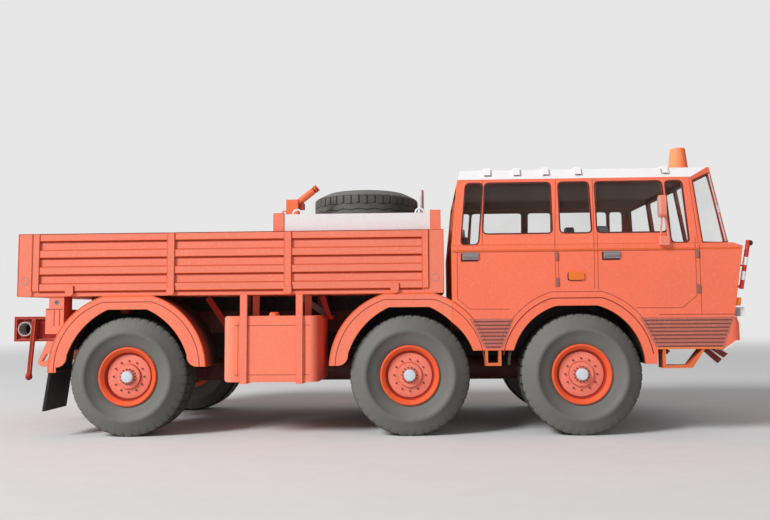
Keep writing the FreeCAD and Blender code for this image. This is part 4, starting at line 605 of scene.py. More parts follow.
gate_drawn = Shape()
gate_half, gate = 36.45, on_back(bed_rear)
for low, high in ((-gate_half + 2.1, -1.15), (1.15, gate_half - 2.1)):
    # Painted shadow under the tailgate's ribs.
    inked(gate_drawn, [run(z - 0.26, low, high) for z in rib_rows[1:]], 0.5,
          on_back(bed_rear + rib_height), 1)
    inked(gate_drawn, [rise(high + 0.1, high=line_top)], 0.24, gate)
inked(gate_drawn, [rise(-gate_half), rise(gate_half),
                   run(floor_top, 0.4 - half_width, half_width - 0.4)], 0.24, gate)
finished("tailgate_lines", gate_drawn, [line_ink, shadow_ink])

deck_drawn = Shape()
deck_level, plank_width = 45.0, 9.0
inked(deck_drawn, [run(n * plank_width, -118.8, -42.6) for n in range(-3, 4)], 0.22,
      lambda x, y, out: (x, y, deck_level + out))
finished("deck_lines", deck_drawn, [faint_ink])

# Hinges of the drop sides and the stakes' feet: lugs cut from card and glued over the joint
# between side and floor, with a dark line on the side away from the light.
lugs = Shape()
lug_outline = [(-1.3, 3.3), (-1.3, 0.9), (-0.8, 0.25), (0, 0), (0.8, 0.25), (1.3, 0.9), (1.3, 3.3)]
foot_outline = [(-1.15, 2.6), (-1.15, 0.5), (-0.75, 0.1), (0.9, 0.1), (1.3, 0.5), (1.3, 2.6)]
for centre, outline in ((-104.5, lug_outline), (-4.3, lug_outline), (-73.16, foot_outline),
                        (-37.02, foot_outline)):
    lugs.prism([(centre + x, floor_low - 0.05 + z) for x, z in outline], -rib_height, 0.45, face)
    lugs.line(rise(centre + 1.35, floor_low + 0.9, floor_low + 3.1), 0.22, -0.4, 0.3, face, 1)
lugs = lugs.mirrored()
for y in (-24, 0, 24):
    lugs.prism([(y + x, floor_low - 0.05 + z) for x, z in lug_outline], -rib_height - 0.5, 0.0,
               gate)
finished("drop_side_lugs", lugs, [bed_red, line_ink], bevel=0.08)

# Ballast: a white card box that fills the bed's front, open on top round the spare wheel, with
# wire hoops painted white at its corners.
white_print = card("white_print", (0.80, 0.755, 0.775), (0.62, 0.52, 0.53), bare=(0.9, 0.88, 0.87),
                   mottle=0.05, touch=0.35, rub=0.1, bump=0.15)
dress(white_print, "ballast_block")


def from_above(x, y, z):
    """Puts a point of an outline that is drawn from above."""
    return x, y, z


hoops = Shape()
ballast_top, hoop_y = 67.9, 28.65
for x in (-35.8, 3.4):
    hoops.tube([(x + along, hoop_y, ballast_top + up) for along, up in (
        (-1.3, -0.3), (-1.35, 0.9), *((-1.35 * math.cos(math.pi * n / 10),
                                       1.0 + 1.4 * math.sin(math.pi * n / 10)) for n in range(11)),
        (1.35, 0.9), (1.3, -0.3))], 0.3, 10)
    for side in (-1.3, 1.3):
        hoops.prism(circle(x + side, hoop_y, 0.5, 12), ballast_top - 0.1, ballast_top + 0.14,
                    from_above)
hoop_paint = card("hoop_paint", (0.86, 0.82, 0.83), (0.95, 0.93, 0.93))
finished("ballast_hoops", hoops.mirrored(), [hoop_paint], "grey_card", stands_for="lifting_rings")

# Stop behind the cab for the spare wheel: a tall tongue of card, painted white as its lit side
# towards the wheel and maroon as its shaded side towards the cab.
stop_lit_to_shaded = 3.85


def lit_and_shaded_halves(tree, colour):
    """Paints the lit side towards the wheel white; the rest keeps the shaded side's maroon."""
    behind = maths(tree, "LESS_THAN", split(tree, spots(tree))[0], spot(stop_lit_to_shaded, 0, 0).x)
    return blended(tree, behind, colour, (0.80, 0.74, 0.76))


stop_light_and_shade = card("stop_light_and_shade", (0.30, 0.09, 0.10), rub=0.1, shade=lit_and_shaded_halves)
dress(stop_light_and_shade, "spare_stop")

# Winch arm: a rolled tube with a ring round its mouth, on a folded block with a bracket under
# the tube, and an eye at its foot. The grooves beside the rings and the bore of the mouth are
# painted near black as shade.
winch_red = card("winch_print", (0.88, 0.18, 0.07), (0.86, 0.12, 0.02), touch=0.8)
bracket_red = card("bracket_print", (0.36, 0.035, 0.02), (0.7, 0.1, 0.03))
mouth_shade = card("mouth_painted_shade", (0.14, 0.012, 0.008), rub=0.0)
winch_foot = Shape()
winch_foot.block((-40.7, -22.0, 68.3), (-36.7, -18.0, 74.7))
winch_foot.block((-37.0, -21.1, 71.5), (-34.9, -18.9, 73.6), 1)
winch_foot.line([(-37.3, 71.9), (-35.6, 75.0)], 0.9, -21.05, -18.95, from_side)
finished("winch_block", winch_foot, [winch_red, bracket_red], stands_for="spare_winch", bevel=0.15)
arm = Shape()
arm_section = [(0, 0), (0, 1.12), (8.7, 1.12), (8.75, 1.0), (9.05, 1.0), (9.1, 1.22), (9.7, 1.22),
               (9.75, 1.0), (10.0, 1.0), (10.05, 1.25), (10.4, 1.2), (10.4, 0.75), (8.6, 0.7),
               (8.6, 0)]
arm_tilt = math.radians(38)
arm.lathe(arm_section, even_turn(36), [0, 0, 2, 2, 2, 1, 2, 2, 2, 1, 1, 2, 2, 0])
finished("winch_arm", arm, [winch_red, rim_paint, mouth_shade], at=(-38.7, -20, 72.5),
         facing=Matrix.Rotation(-arm_tilt, 4, "Y") @ Matrix.Rotation(-math.pi / 2, 4, "Z"))
eye_ring = Shape()
eye_ring.tube([(x, -31.5, z) for x, z in circle(-39.4, 68.8, 0.75, 16)], 0.24, 8, closed=True)
eye_pink = card("eye_paint", (0.80, 0.2, 0.2), (0.9, 0.4, 0.35))
finished("winch_eye", eye_ring, [eye_pink])

# Mudguards: a card arch over each pair of rear wheels, red outside and painted black inside,
# with a printed line along the band. The skin that looks forwards gets painted shade that turns
# black under the bed, and the sides painted light and shade. The forward one runs on into the
# cab's side.
guard_wall = 24.7


def wheelhouse(centre_x):
    """Paints black what looks towards the wheel and the wall on its inner side, and paints shade on
    the skin that looks forwards, fading it to black as it goes in under the bed."""
    def shade(tree, colour):
        where, normal = split(tree, spots(tree)), split(tree, looks(tree, "True Normal"))
        centre = spot(centre_x, 0, axle_height)
        outward = maths(tree, "MULTIPLY", maths(tree, "SUBTRACT", where[0], centre.x), normal[0])
        above = maths(tree, "SUBTRACT", where[2], centre.z)
        outward = maths(tree, "MULTIPLY_ADD", above, normal[2], outward)
        across = maths(tree, "ABSOLUTE", where[1])
        black_and_shade = maths(tree, "MULTIPLY", maths(tree, "MULTIPLY_ADD", across, -110, 4.42, clamp=True),
                      maths(tree, "MULTIPLY", normal[0], 2.2, clamp=True))
        for mask in (maths(tree, "LESS_THAN", outward, -0.0008),
                     maths(tree, "LESS_THAN", across, guard_wall * MM)):
            black_and_shade = maths(tree, "MAXIMUM", black_and_shade, mask)
        return blended(tree, black_and_shade, paint_light_and_shade((0.2, 0.004, 0.002))(tree, colour),
                       (0.012, 0.011, 0.011))
    return shade


for end, x in (("rear", rear_axle), ("middle", 0)):
    print_red = card(f"guard_print_{end}", (0.91, 0.215, 0.125), (0.84, 0.13, 0.012), touch=0.9,
                     width=0.35, shade=wheelhouse(x))
    dress(print_red, f"{end}_mudguard_right", f"{end}_mudguard_left")


def arch(centre, inset=0.0, low=None):
    """The outline of a mudguard's outer edge, drawn in by an inset; the rear end may go on down
    to a lower level."""
    flat, reach, top, end = 7.5, 24.4 - inset, floor_low - inset, 21.3
    curve = arc((flat, top), (flat + (reach - flat) * 0.677, end + (top - end) * 0.655),
                (reach, end), 18)
    return ([(centre - reach, low)] if low else []) + [
        (centre - x, z) for x, z in reversed(curve)] + [(centre + x, z) for x, z in curve]


guard_drawn = Shape()
inked(guard_drawn, [arch(rear_axle, 1.9, 19.8), arch(0, 1.9)], 0.2, face)
inked(guard_drawn, [arch(rear_axle, 0.18, 19.8), arch(0, 0.18)[:30]], 0.3, face, 1)
finished_pair("mudguard_lines", guard_drawn, [line_ink, edge_ink])

# Mud flaps: black card behind the rear wheels.
flap_black = card("flap_print", (0.006, 0.006, 0.006), (0.05, 0.05, 0.05), bare=(0.12, 0.12, 0.12),
                  mottle=0.2, dust=0.06)
dress(flap_black, "mud_flaps")

# Rear end: a box across the frame with a lamp box at each end, whose sides carry painted light
# and shade, and the long coupling body, printed a deep red as painted shade under the bed with
# light salmon edges, with a tube through it.
coupling_shade_red = card("coupling_painted_shade", (0.30, 0.013, 0.008), (0.9, 0.24, 0.15), touch=1.0, width=0.35,
                rub=0.04)
beam_red = card("beam_print", (0.93, 0.225, 0.135), (0.85, 0.15, 0.03), shade=paint_light_and_shade())
dress(beam_red, "rear_beam")
dress(coupling_shade_red, "tow_coupling")
tail_lines = Shape()
beam_face = 38.05
where = on_side(beam_face)
inked(tail_lines, [rise(-109.6, 39.0, 33.9), rise(-107.9, 39.0, 33.9), run(39.1, -111.9, -106.9)],
      0.2, where)
side_lens = (-108.9, 41.2)
inked(tail_lines, [circle(*side_lens, 0.75, 18)], 0.26, where, 1, True)
tail_lines.prism(circle(*side_lens, 0.62, 18), line_sunk, line_proud, where, 2)
tail_lines.prism(oblong(-112.25, 39.0, -111.9, 39.35), -4.0, 0.1, where, 3)
lens_grey = card("lens_print", (0.17, 0.12, 0.12), rub=0.1)
lens_red = card("tail_lens_print", (0.45, 0.01, 0.01), (0.6, 0.05, 0.03), rub=0.05)
lens_amber = card("tail_amber_print", (0.75, 0.24, 0.02), (0.6, 0.1, 0.03), rub=0.05)
lens_white = card("tail_white_print", (0.75, 0.74, 0.72), (0.5, 0.45, 0.45), rub=0.05)
finished("rear_beam_lines", tail_lines.mirrored(), [line_ink, grey_ink, lens_grey, beam_red])

tail_lamps = Shape()
where = on_back(-111.3)
for hand in (-1, 1):
    for inset, ink in ((1.3, 1), (3.0, 0), (4.5, 2)):
        lens = (hand * (beam_face - inset), 40.9)
        tail_lamps.prism(circle(*lens, 0.72, 20), -0.1, 0.35, where, ink)
        tail_lamps.line(circle(*lens, 0.85, 20), 0.2, -0.05, 0.2, where, 3, True)
finished("tail_lamps", tail_lamps, [lens_red, lens_amber, lens_white, line_ink], "lamp_card",
         bevel=0.1)


def plate(name, left, low, right, high, levels, where):
    """A blank plate of white card with a thin printed border."""
    made = Shape()
    made.prism(oblong(left, low, right, high), levels[0], levels[1], where)
    made.line(oblong(left + 0.4, low + 0.4, right - 0.4, high - 0.4), 0.16, 0.2, levels[2], where,
              1, True)
    finished(name, made, [lens_white, nut_ink])


plate("blank_plate", 19.0, 33.2, 33.0, 37.6, (-0.02, 0.25, 0.3), on_back(-112.3))

# The coupling's tube is a rolled strip of pale grey card, open at both ends, with a black wall
# across its middle. The release lever beside it is a red wire with a knob.
sleeve_card = card("sleeve_card", (0.40, 0.38, 0.36), (0.6, 0.55, 0.52), mottle=0.2)
sleeve = Shape()
for flip in (1, -1):
    sleeve.lathe([(y * flip, r) for y, r in ((-9.0, 2.1), (-9.0, 2.5), (-4.0, 2.5), (-4.0, 0),
                                             (-4.2, 0), (-4.2, 2.1))],
                 even_turn(48), [0, 0, 1, 1, 1, 0])
finished("coupling_sleeve", sleeve, [sleeve_card, flap_black], "grey_card", at=(-134.3, 0, 32.6))
lever = Shape()
lever.tube([(x, -9.5, z) for x, z in (
    (-130.6, 35.9), (-130.7, 33.5), (-131.3, 24.0), (-132.05, 17.9), (-132.1, 17.3),
    (-132.1, 16.6), (-132.1, 15.9), (-132.1, 15.4))],
           [0.62, 0.62, 0.6, 0.62, 0.95, 1.14, 0.95, 0.45], 14)
lever_paint = card("lever_paint", (0.50, 0.03, 0.012), (0.85, 0.2, 0.08), width=0.3)
finished("release_lever", lever, [lever_paint])

# Towing loops and front hooks: slotted links cut from thick card, painted a dark red at the
# front as shade under the nose and a bright red at the rear.


def by_end(tree, colour):
    """Front hooks stay dark as painted shade under the nose; the rear links turn bright."""
    return blended(tree, maths(tree, "LESS_THAN", split(tree, spots(tree))[0], middle_axle), colour,
                   (0.88, 0.26, 0.17))


hook_shade_and_paint = card("hook_shade_and_paint", (0.22, 0.025, 0.015), (0.8, 0.18, 0.09), touch=0.6, shade=by_end)
dress(hook_shade_and_paint, "tow_hooks")

# Fuel tanks: folded card boxes with rounded edges, hung in two bands from the bed's edge, with
# printed seams and a filler cap of stacked discs. Their sides carry painted shade at the front and
# painted light at the back.
tank_red = card("tank_print", (0.94, 0.225, 0.13), (0.8, 0.12, 0.04), width=0.3, touch=0.4,
                shade=paint_light_and_shade())
strap_red = card("strap_print", (0.92, 0.225, 0.135), (0.75, 0.1, 0.02))
dress(tank_red, "fuel_tanks")
dress(strap_red, "tank_straps")
tank_face, tank_low, tank_high = 38.55, 16.5, 36.5
tank_lines = Shape()
inked(tank_lines, [rise(x, tank_low + 1.6, tank_high - 1.6) for x in (-52.2, -34.4, -31.7)]
      + [run(z, -53.3, -30.3) for z in (18.7, 33.6)], 0.18, on_side(tank_face), 1)
inked(tank_lines, [rise(x, tank_low - 0.3, floor_low) for x in (-49.3, -32.3)], 0.2, face)
finished("tank_lines", tank_lines.mirrored(), [line_ink, faint_ink])
caps = Shape()
cap_x, cap_y = -41.8, 34.95
caps.prism(circle(cap_x, cap_y, 1.62, 24), 36.4, 36.95, from_above)
caps.prism(circle(cap_x, cap_y, 1.3, 24), 36.9, 37.42, from_above)
caps.prism(oblong(cap_x - 1.3, cap_y - 0.22, cap_x + 1.3, cap_y + 0.22), 37.4, 37.62,
           from_above)
finished("tank_caps", caps.mirrored(), [winch_red], bevel=0.1)

# Struts under the bed: folded strips that run down from the bearers to the frame, some red and
# some left grey.
rail_side = 12.8
struts = Shape()
for (x0, z0), (x1, z1), y, width, ink in (
        ((-36.0, 42.6), (-26.5, 36.2), 21.5, 1.8, 0), ((-28.6, 42.6), (-26.4, 36.0), 22.5, 1.6, 1),
        ((-66.5, 42.6), (-59.5, 32.5), 21.5, 1.8, 1), ((-97.5, 42.6), (-91.5, 38.5), 27.0, 1.6, 1)):
    struts.line([(x0, z0), (x1, z1)], width, -0.5, 0.5, on_side(y), ink)
    struts.line(run(z1 - 0.3, x1 - 1.4, x1 + 1.4), 1.0, rail_side - y, 0.8, on_side(y), ink)
strut_grey = card("strut_grey", (0.16, 0.14, 0.14), (0.4, 0.38, 0.38), mottle=0.2)
strut_red = card("strut_red", (0.46, 0.035, 0.02), (0.7, 0.1, 0.05), mottle=0.2)
finished("bed_struts", struts.mirrored(), [strut_grey, strut_red])

# Frame filler: black card walls with a folded lower edge that close the view through the frame,
# put where the shade under the bed lies. The long one is glued between the cross bearers, the
# others hang from the rails between axles.
filler = Shape()
where = on_side(rail_side - 0.4)
for back, front, low, high in ((-106.4, 9.6, 38, 43), (-78.4, -8, 22.8, 31), (8, 43.6, 22.8, 31)):
    filler.line(oblong(back, low + 0.05, front, high), 0.4, -0.2, 0.5, where, 0, True)
    filler.prism(oblong(back, low, front, high - 0.05), 0, 0.25, where)
shade_wall_black = card("under_bed_shade_card", (0.014, 0.012, 0.012), (0.06, 0.04, 0.035), mottle=0.2,
                    rub=0.03)
finished("frame_shade_walls", filler.mirrored(), [shade_wall_black], "black_card")

# Cab: sides, nose, roof and rear wall folded from printed card; outside orange-red with the
# doors, seams and louvres printed on, inside printed brown with a redder band round the windows.
cab_rear, cab_front, pillar_foot, pillar_head = 13.0, 100.1, 87.9, 86.5
gutter_rear, roof_top = 15.2, 81.3
screen_foot, screen_head = 97.3, 93.2
nose_foot, bumper_top, sill = 96.8, 35.1, 25.6
shell_from, side_from, band_below = 0.004, 0.030, 74.6
cab_middle = (56, 0, 62)


def lined(outer_from, below=90.0):
    """Prints the inside brown: the faces under a height that look less than so far outwards from
    the cab's middle."""
    def shade(tree, colour):
        offset = place(tree, "VectorMath", {0: spots(tree), 1: spot(*cab_middle)},
                       operation="SUBTRACT").outputs[0]
        outward = place(tree, "VectorMath", {0: offset, 1: looks(tree, "True Normal")},
                        operation="DOT_PRODUCT").outputs["Value"]
        height = split(tree, spots(tree))[2]
        brown = blended(tree, maths(tree, "LESS_THAN", height, band_below * MM),
                        (0.26, 0.135, 0.10), (0.46, 0.07, 0.04))
        inner = maths(tree, "MULTIPLY", maths(tree, "LESS_THAN", outward, outer_from),
                      maths(tree, "LESS_THAN", height, below * MM))
        return blended(tree, inner, colour, brown)
    return shade


cab_ink, cab_edge = (0.945, 0.186, 0.098), (0.84, 0.135, 0.012)
side_red = card("cab_side_print", cab_ink, cab_edge, touch=1.0, width=0.4, shade=lined(side_from))
shell_red = card("cab_shell_print", cab_ink, cab_edge, touch=0.9, width=0.4,
                 shade=lined(shell_from))
dress(side_red, "cab_side_right", "cab_side_left")
dress(shell_red, "cab_rear_wall", "cab_nose", "windscreen_frame")
edge_orange = card("edge_orange", (0.88, 0.21, 0.05), (0.9, 0.3, 0.1))
roof_white = card("roof_print", (0.87, 0.855, 0.865), (0.72, 0.45, 0.38), bare=(0.92, 0.9, 0.89),
                  mottle=0.04, touch=0.35, width=0.2, rub=0.1, bump=0.15,
                  shade=lined(shell_from, roof_top - 0.5))
dress(roof_white, "cab_roof")

foot_span, head_span = pillar_foot - cab_rear, pillar_head - gutter_rear
window_head, window_corner = 76.6, 1.3
window_shares = ((0.040, 0.108, 0.037, 0.108, 57.6), (0.130, 0.407, 0.119, 0.398, 60.9),
                 (0.442, 0.566, 0.434, 0.561, 60.9), (0.590, 0.868, 0.590, 0.872, 60.9),
                 (0.884, 0.951, 0.889, 0.958, 57.6))


def rounded_pane(low_left, low_right, high_left, high_right, foot, head, corner=window_corner,
                 grow=0.0):
    """The edge of a window opening with round corners, grown outwards."""
    corners = [Vector(corner_at) for corner_at in (
        (low_left - grow, foot - grow), (low_right + grow, foot - grow),
        (high_right + grow, head + grow), (high_left - grow, head + grow))]
    path = []
    for before, here, after in neighbours(corners, True):
        start = here + (before - here).normalized() * (corner + grow)
        end = here + (after - here).normalized() * (corner + grow)
        path += [tuple(start.lerp(here, t).lerp(here.lerp(end, t), t))
                 for t in (0, 0.25, 0.5, 0.75, 1)]
    return path


def rounded_oblong(left, low, right, high, corner=window_corner, grow=0.0):
    """An upright oblong with round corners."""
    return rounded_pane(left, right, left, right, low, high, corner, grow)


window_ink = card("window_ink", (0.09, 0.02, 0.016), rub=0.02)
louvre_print = card("louvre_print", (0.53, 0.155, 0.11), rub=0.08)
louvre_ink = card("louvre_ink", (0.21, 0.06, 0.05), rub=0.03)
seam_brown = card("seam_brown", (0.40, 0.075, 0.045), rub=0.03)
belt_ink = card("belt_ink", (0.76, 0.13, 0.03), rub=0.03)
louvres = (((19.3, 30.9, 34.2), (23.0, 27.5, 26.6)), ((70.0, 96.0, 34.2), (74.0, 92.9, 26.5)))
louvre_count = 8
front_arch = 50.4
band_low, seam_top, line_rear = 55.2, gutter - 0.2, cab_rear + 0.3
door_seams = [
    [(14.75, 55.3), (14.6, 41.1), (18.4, 38.0), (30.0, 37.9)],
    [(44.2, 44.3), (44.2, belt), (45.35, seam_top)],
    [(45.1, 44.6), (45.1, band_low)],
    [(55.8, 43.8), (55.95, belt), (56.55, seam_top)],
    [(56.9, 43.6), (56.95, belt), (57.45, seam_top)],
    [(67.9, 38.0), (81.6, 37.9), (86.0, 41.5), (86.05, belt), (86.2, 59.0)],
    [(87.25, 36.1), (87.25, belt - 0.4)],
    [(22.3, belt), (22.9, seam_top)],
    [(87.0, belt), (85.85, seam_top - 0.2)],
]
cab_drawn = Shape()
for low_left, low_right, high_left, high_right, foot in window_shares:
    inked(cab_drawn, [rounded_pane(
        cab_rear + foot_span * low_left, cab_rear + foot_span * low_right,
        gutter_rear + head_span * high_left, gutter_rear + head_span * high_right, foot,
        window_head, grow=0.14)], 0.42, face, 0, True)
inked(cab_drawn, door_seams + [run(band_low, line_rear, 87.2)], 0.16, face, 1)
inked(cab_drawn, [run(band_low + 0.4, line_rear, 99.6)], 0.55, face, 2)
inked(cab_drawn, [[(13.25, 43.4), (13.25, belt), (15.35, 77.6)]], 0.36, face, 5)
inked(cab_drawn, [run(belt + 0.05, line_rear, 87.6)], 0.14, face, 2)
inked(cab_drawn, [[p for p in arch(front_arch) if p[1] > 26.4],
                  [p for p in arch(0) if p[0] > 13.4 and p[1] > 26.2], run(35.9, 74.6, 97.2)], 0.2,
      face, 1)
inked(cab_drawn, [[p for p in arch(front_arch, 1.9) if p[1] > 23]], 0.3, face, 6)
for (left, right_end, top), (low_left, low_right, bottom) in louvres:
    cab_drawn.prism([(left - 1.1, top + 0.9), (right_end + 0.6, top + 0.9),
                     (low_right + 0.6, bottom - 0.5), (low_left - 0.5, bottom - 0.5)], line_sunk,
                    0.025, face, 3)
    for n in range(louvre_count):
        share = n / (louvre_count - 1)
        cab_drawn.line(run(top + (bottom - top) * share, left + (low_left - left) * share,
                           right_end + (low_right - right_end) * share), 0.42, line_sunk, 0.07,
                       face, 4)
cab_drawn.line(run(sill + 0.3, 73.6, 93.0), 0.5, line_sunk, 0.06, face, 5)
finished_pair("cab_lines", cab_drawn, [window_ink, seam_brown, belt_ink, louvre_print, louvre_ink,
                                       edge_orange, line_ink])

# Corner panes: the ink round the slanting panes at the windscreen's ends.
top_half, slant_foot, slant_head = 35.555, 35.5, 32.955


def up_screen(z):
    """How far up the windscreen a level is, from 0 to 1."""
    return (z - belt) / (roof_top - belt)


def on_corner(x, z, out):
    """Puts a point on the slanting corner at the left of the windscreen."""
    back = pillar_foot - 1.63 * up_screen(z)
    fore = screen_foot - (screen_foot - screen_head) * up_screen(z)
    wide = half_width + (top_half - half_width) * up_screen(z)
    narrow = slant_foot + (slant_head - slant_foot) * up_screen(z)
    slant = Vector((wide - narrow, fore - back)).normalized()
    return (x + out * slant.x,
            wide + (narrow - wide) * (x - back) / (fore - back) + out * slant.y, z)


def on_screen(y, z, out):
    """Puts a point on the windscreen."""
    return screen_foot - (screen_foot - screen_head) * up_screen(z) + out, y, z


screen_drawn = Shape()
inked(screen_drawn, [[(88.35, 57.5), (95.85, 57.5), (92.55, 79.35), (86.95, 76.75)]], 0.4,
      on_corner, 1, True)
screen_drawn = screen_drawn.mirrored()
for hand in (-1, 1):
    inked(screen_drawn, [rounded_pane(0.8 * hand, 34.2 * hand, 0.8 * hand, 31.65 * hand, 58.1, 79.2,
                                      window_corner * hand)], 0.3, on_screen, 0, True)
finished("windscreen_lines", screen_drawn, [window_ink, line_ink])

# Bright strips along the windscreen's corners with a catch half way up.
trim_card = card("trim_card", (0.62, 0.60, 0.60), (0.9, 0.88, 0.86), width=0.15)
trim = Shape()
trim.line([(96.3, 58.0), (94.55, 68.0), (92.75, 79.0)], 0.3, -0.1, 0.3, on_corner)
trim.line([(94.95, 67.0), (94.6, 69.0)], 0.7, -0.1, 0.5, on_corner)
finished("screen_trims", trim.mirrored(), [trim_card])

# Rear wall of the cab: ink round its two windows and down its folds.


def on_rear_wall(y, z, out):
    """Puts a point on the cab's rear wall, which leans forward above the belt."""
    lean_in = max(0.0, z - belt) / (gutter - belt) * (gutter_rear - cab_rear)
    return cab_rear + lean_in - out, y, z


wall_drawn = Shape()
inked(wall_drawn, [rounded_oblong(4.0, 60.9, 30.05, window_head, grow=0.12)], 0.3, on_rear_wall, 0,
      True)
wall_drawn = wall_drawn.mirrored()
for z, width in ((55.35, 0.35), (belt, 0.2)):
    inked(wall_drawn, [run(z, -38.6, 38.6)], width, on_rear_wall, 1)
finished("cab_rear_lines", wall_drawn, [window_ink, belt_ink])

# Window film: clear plastic sheet glued behind the openings.
film, film_tree = blank("window_film")
film_shader = film_tree.nodes["Principled BSDF"].inputs
smears = maths(film_tree, "SUBTRACT", clouds(film_tree, spots(film_tree), 90, 4), 0.45)
smears = maths(film_tree, "MULTIPLY", smears, 2.2, clamp=True)
for label, gain, least in (("Alpha", 0.05, 0.04), ("Roughness", 0.2, 0.06)):
    feed(film_tree, film_shader[label], maths(film_tree, "MULTIPLY_ADD", smears, gain, least))
feed(film_tree, film_shader["Base Color"], (0.22, 0.19, 0.16))
film_shader["Specular IOR Level"].default_value = 0.3
film_shader["IOR"].default_value = 1.49
dress(film, "cab_windows")

# Inside: black card floor, dashboard with printed dials, brown card seats with grey covers on
# the head rests, and a ring-shaped steering wheel on the left.
floor_black = card("floor_print", (0.03, 0.026, 0.025), (0.08, 0.06, 0.05), mottle=0.2)
dress(floor_black, "cab_floor", "dashboard")
seat_brown = card("seat_print", (0.16, 0.085, 0.06), (0.3, 0.18, 0.13), width=0.35)
seat_seam = card("seat_seam", (0.05, 0.025, 0.02), rub=0.0)
rest_grey = card("rest_print", (0.21, 0.235, 0.29), (0.34, 0.36, 0.4), mottle=0.12)
seats = Shape()
seat_foot, cushion_low, cushion_top, back_top = 40.4, 46.8, 49.8, 60.6


def rounded_box(shape, low, high, corner, ink=0, lean=0.0):
    """A box with round upper corners across, leaning back as it rises."""
    half, middle = (high[1] - low[1]) / 2, (high[1] + low[1]) / 2
    outline = [(-half, low[2]), (half, low[2])]
    for n in range(12):
        angle = math.pi / 10 * (n - n // 6)
        outline.append(((half - corner) * (1 if n < 6 else -1) + corner * math.cos(angle),
                        high[2] - corner + corner * math.sin(angle)))
    shape.prism(outline, low[0], high[0],
                lambda y, z, x: (x - lean * (z - low[2]) / (high[2] - low[2]), middle + y, z), ink)


def seat(rear, y, half, back_half):
    """A seat's base, cushion and leaning back."""
    front, trim_half = rear + 13.8, half - 0.4
    rounded_box(seats, (rear, y - half, seat_foot), (front, y + half, cushion_low), 0.6)
    rounded_box(seats, (rear + 0.4, y - trim_half, cushion_low),
                (front, y + trim_half, cushion_top), 1.2)
    rounded_box(seats, (rear - 0.1, y - back_half, cushion_low + 0.1),
                (rear + 2.2, y + back_half, back_top), 2.2, lean=2.0)


def stitch(rear, y, front):
    """A sewn line along a cushion."""
    seats.block((rear, y - 0.1, cushion_top - 0.1), (front, y + 0.1, cushion_top + 0.06), 1)


for y in (-19, 19):
    seat(63.2, y, 7.5, 7.2)
    rounded_box(seats, (61.6, y - 3.6, back_top - 0.4), (64.4, y + 3.6, 64.7), 1.8, 2, 0.3)
    for seam in (-3.4, 3.4):
        stitch(66.0, y + seam, 76.6)
seat(18.2, 0, 33, 32.8)
for y in (-22, 0, 22):
    rounded_box(seats, (16.2, y - 3.8, back_top - 0.4), (18.0, y + 3.8, 63.8), 1.6, 2, 0.3)
    stitch(20.9, y + 11, 31.6)
raised = Shape()
for y in (17.0, 21.0):
    raised.tube([(60.2, y, 62.0), (59.6, y, 66.0)], 0.25, 8, 1)
rounded_box(raised, (58.2, 15.4, 65.2), (60.8, 22.6, 68.6), 1.6, lean=0.3)
finished("driver_head_rest", raised, [rest_grey, seat_seam], "brown_card", bevel=0.3)
finished("cab_seat_boxes", seats, [seat_brown, seat_seam, rest_grey], "brown_card",
         stands_for="cab_seats", bevel=0.3)

bead_black = card("rubber_print", (0.02, 0.02, 0.02), (0.1, 0.1, 0.1))
steering = Shape()
steering.tube([(x, y, 0) for x, y in circle(0, 0, 6.1, 40)], 0.45, 8, closed=True)
for x, y in circle(0, 0, 1, 3, math.pi / 2):
    steering.tube([(0.8 * x, 0.8 * y, -0.4), (6.0 * x, 6.0 * y, 0)], 0.4, 8)
steering.tube([(0, 0, 0.3), (0, 0, -0.2), (0, 0, -1.0), (0, 0, -7.6)], [1.3, 1.6, 0.8, 0.75], 16)
finished("steering_ring", steering, [bead_black], "black_card", stands_for="steering_wheel",
         at=(83.8, 19, 58.9), facing=Matrix.Rotation(math.radians(-55), 4, "Y"))

dials = Shape()
dial_level = 53.0
where = on_back(89.0)
for y, size in ((14.5, 1.5), (18.5, 1.5), (22.0, 0.9), (11.6, 0.9)):
    dials.prism(circle(y, dial_level, size, 20), 0, 0.25, where)
    dials.line([(y, dial_level), (y + size * 0.5, dial_level + size * 0.5)], 0.15, 0.2, 0.3, where,
               1)
finished("dashboard_dials", dials, [white_print, nut_ink], "black_card")

# Door handles and hinges: slips of grey card glued on the doors over a printed shadow.
handle_grey = card("handle_print", (0.25, 0.21, 0.23), (0.42, 0.36, 0.37), width=0.3)
hinge_print = card("hinge_print", (0.30, 0.13, 0.11), (0.5, 0.22, 0.18), width=0.2)
grips = Shape()
for x in (16.3, 58.7):
    grips.prism(oblong(x - 0.5, 52.35, x + 4.8, 54.9), line_sunk, 0.05, face, 1)
    grips.prism(oblong(x, 52.9, x + 4.9, 55.1), 0, 0.45, face)
    grips.line(run(54.0, x + 0.2, x + 4.7), 0.7, 0.4, 0.7, face)
for x, low, high in ((44.65, 52.5, 54.9), (44.65, 44.7, 47.2), (86.6, 52.9, 55.2),
                     (86.6, 42.3, 44.8)):
    grips.prism(oblong(x - 0.5, low, x + 0.45, high), 0, 0.4, face, 2)
    grips.line(rise(x + 0.45, low - 0.1, high), 0.2, line_sunk, 0.3, face, 1)
finished_pair("door_fittings", grips, [handle_grey, window_ink, hinge_print], slot="grey_card",
              bevel=0.1)

# Side lamps: little orange pads of card between the doors, each over a painted shadow.
lamp_orange = card("lamp_orange", (0.86, 0.185, 0.025), (0.86, 0.28, 0.08), width=0.3)
pads = Shape()
pads.prism(rounded_oblong(47.75, 46.25, 52.4, 48.9, 0.7), line_sunk, 0.06, face, 1)
pads.prism(rounded_oblong(48.1, 46.5, 52.7, 49.0, 0.7), 0, 0.55, face)
finished("side_lamps", pads.mirrored(), [lamp_orange, window_ink], "amber_card", bevel=0.2)

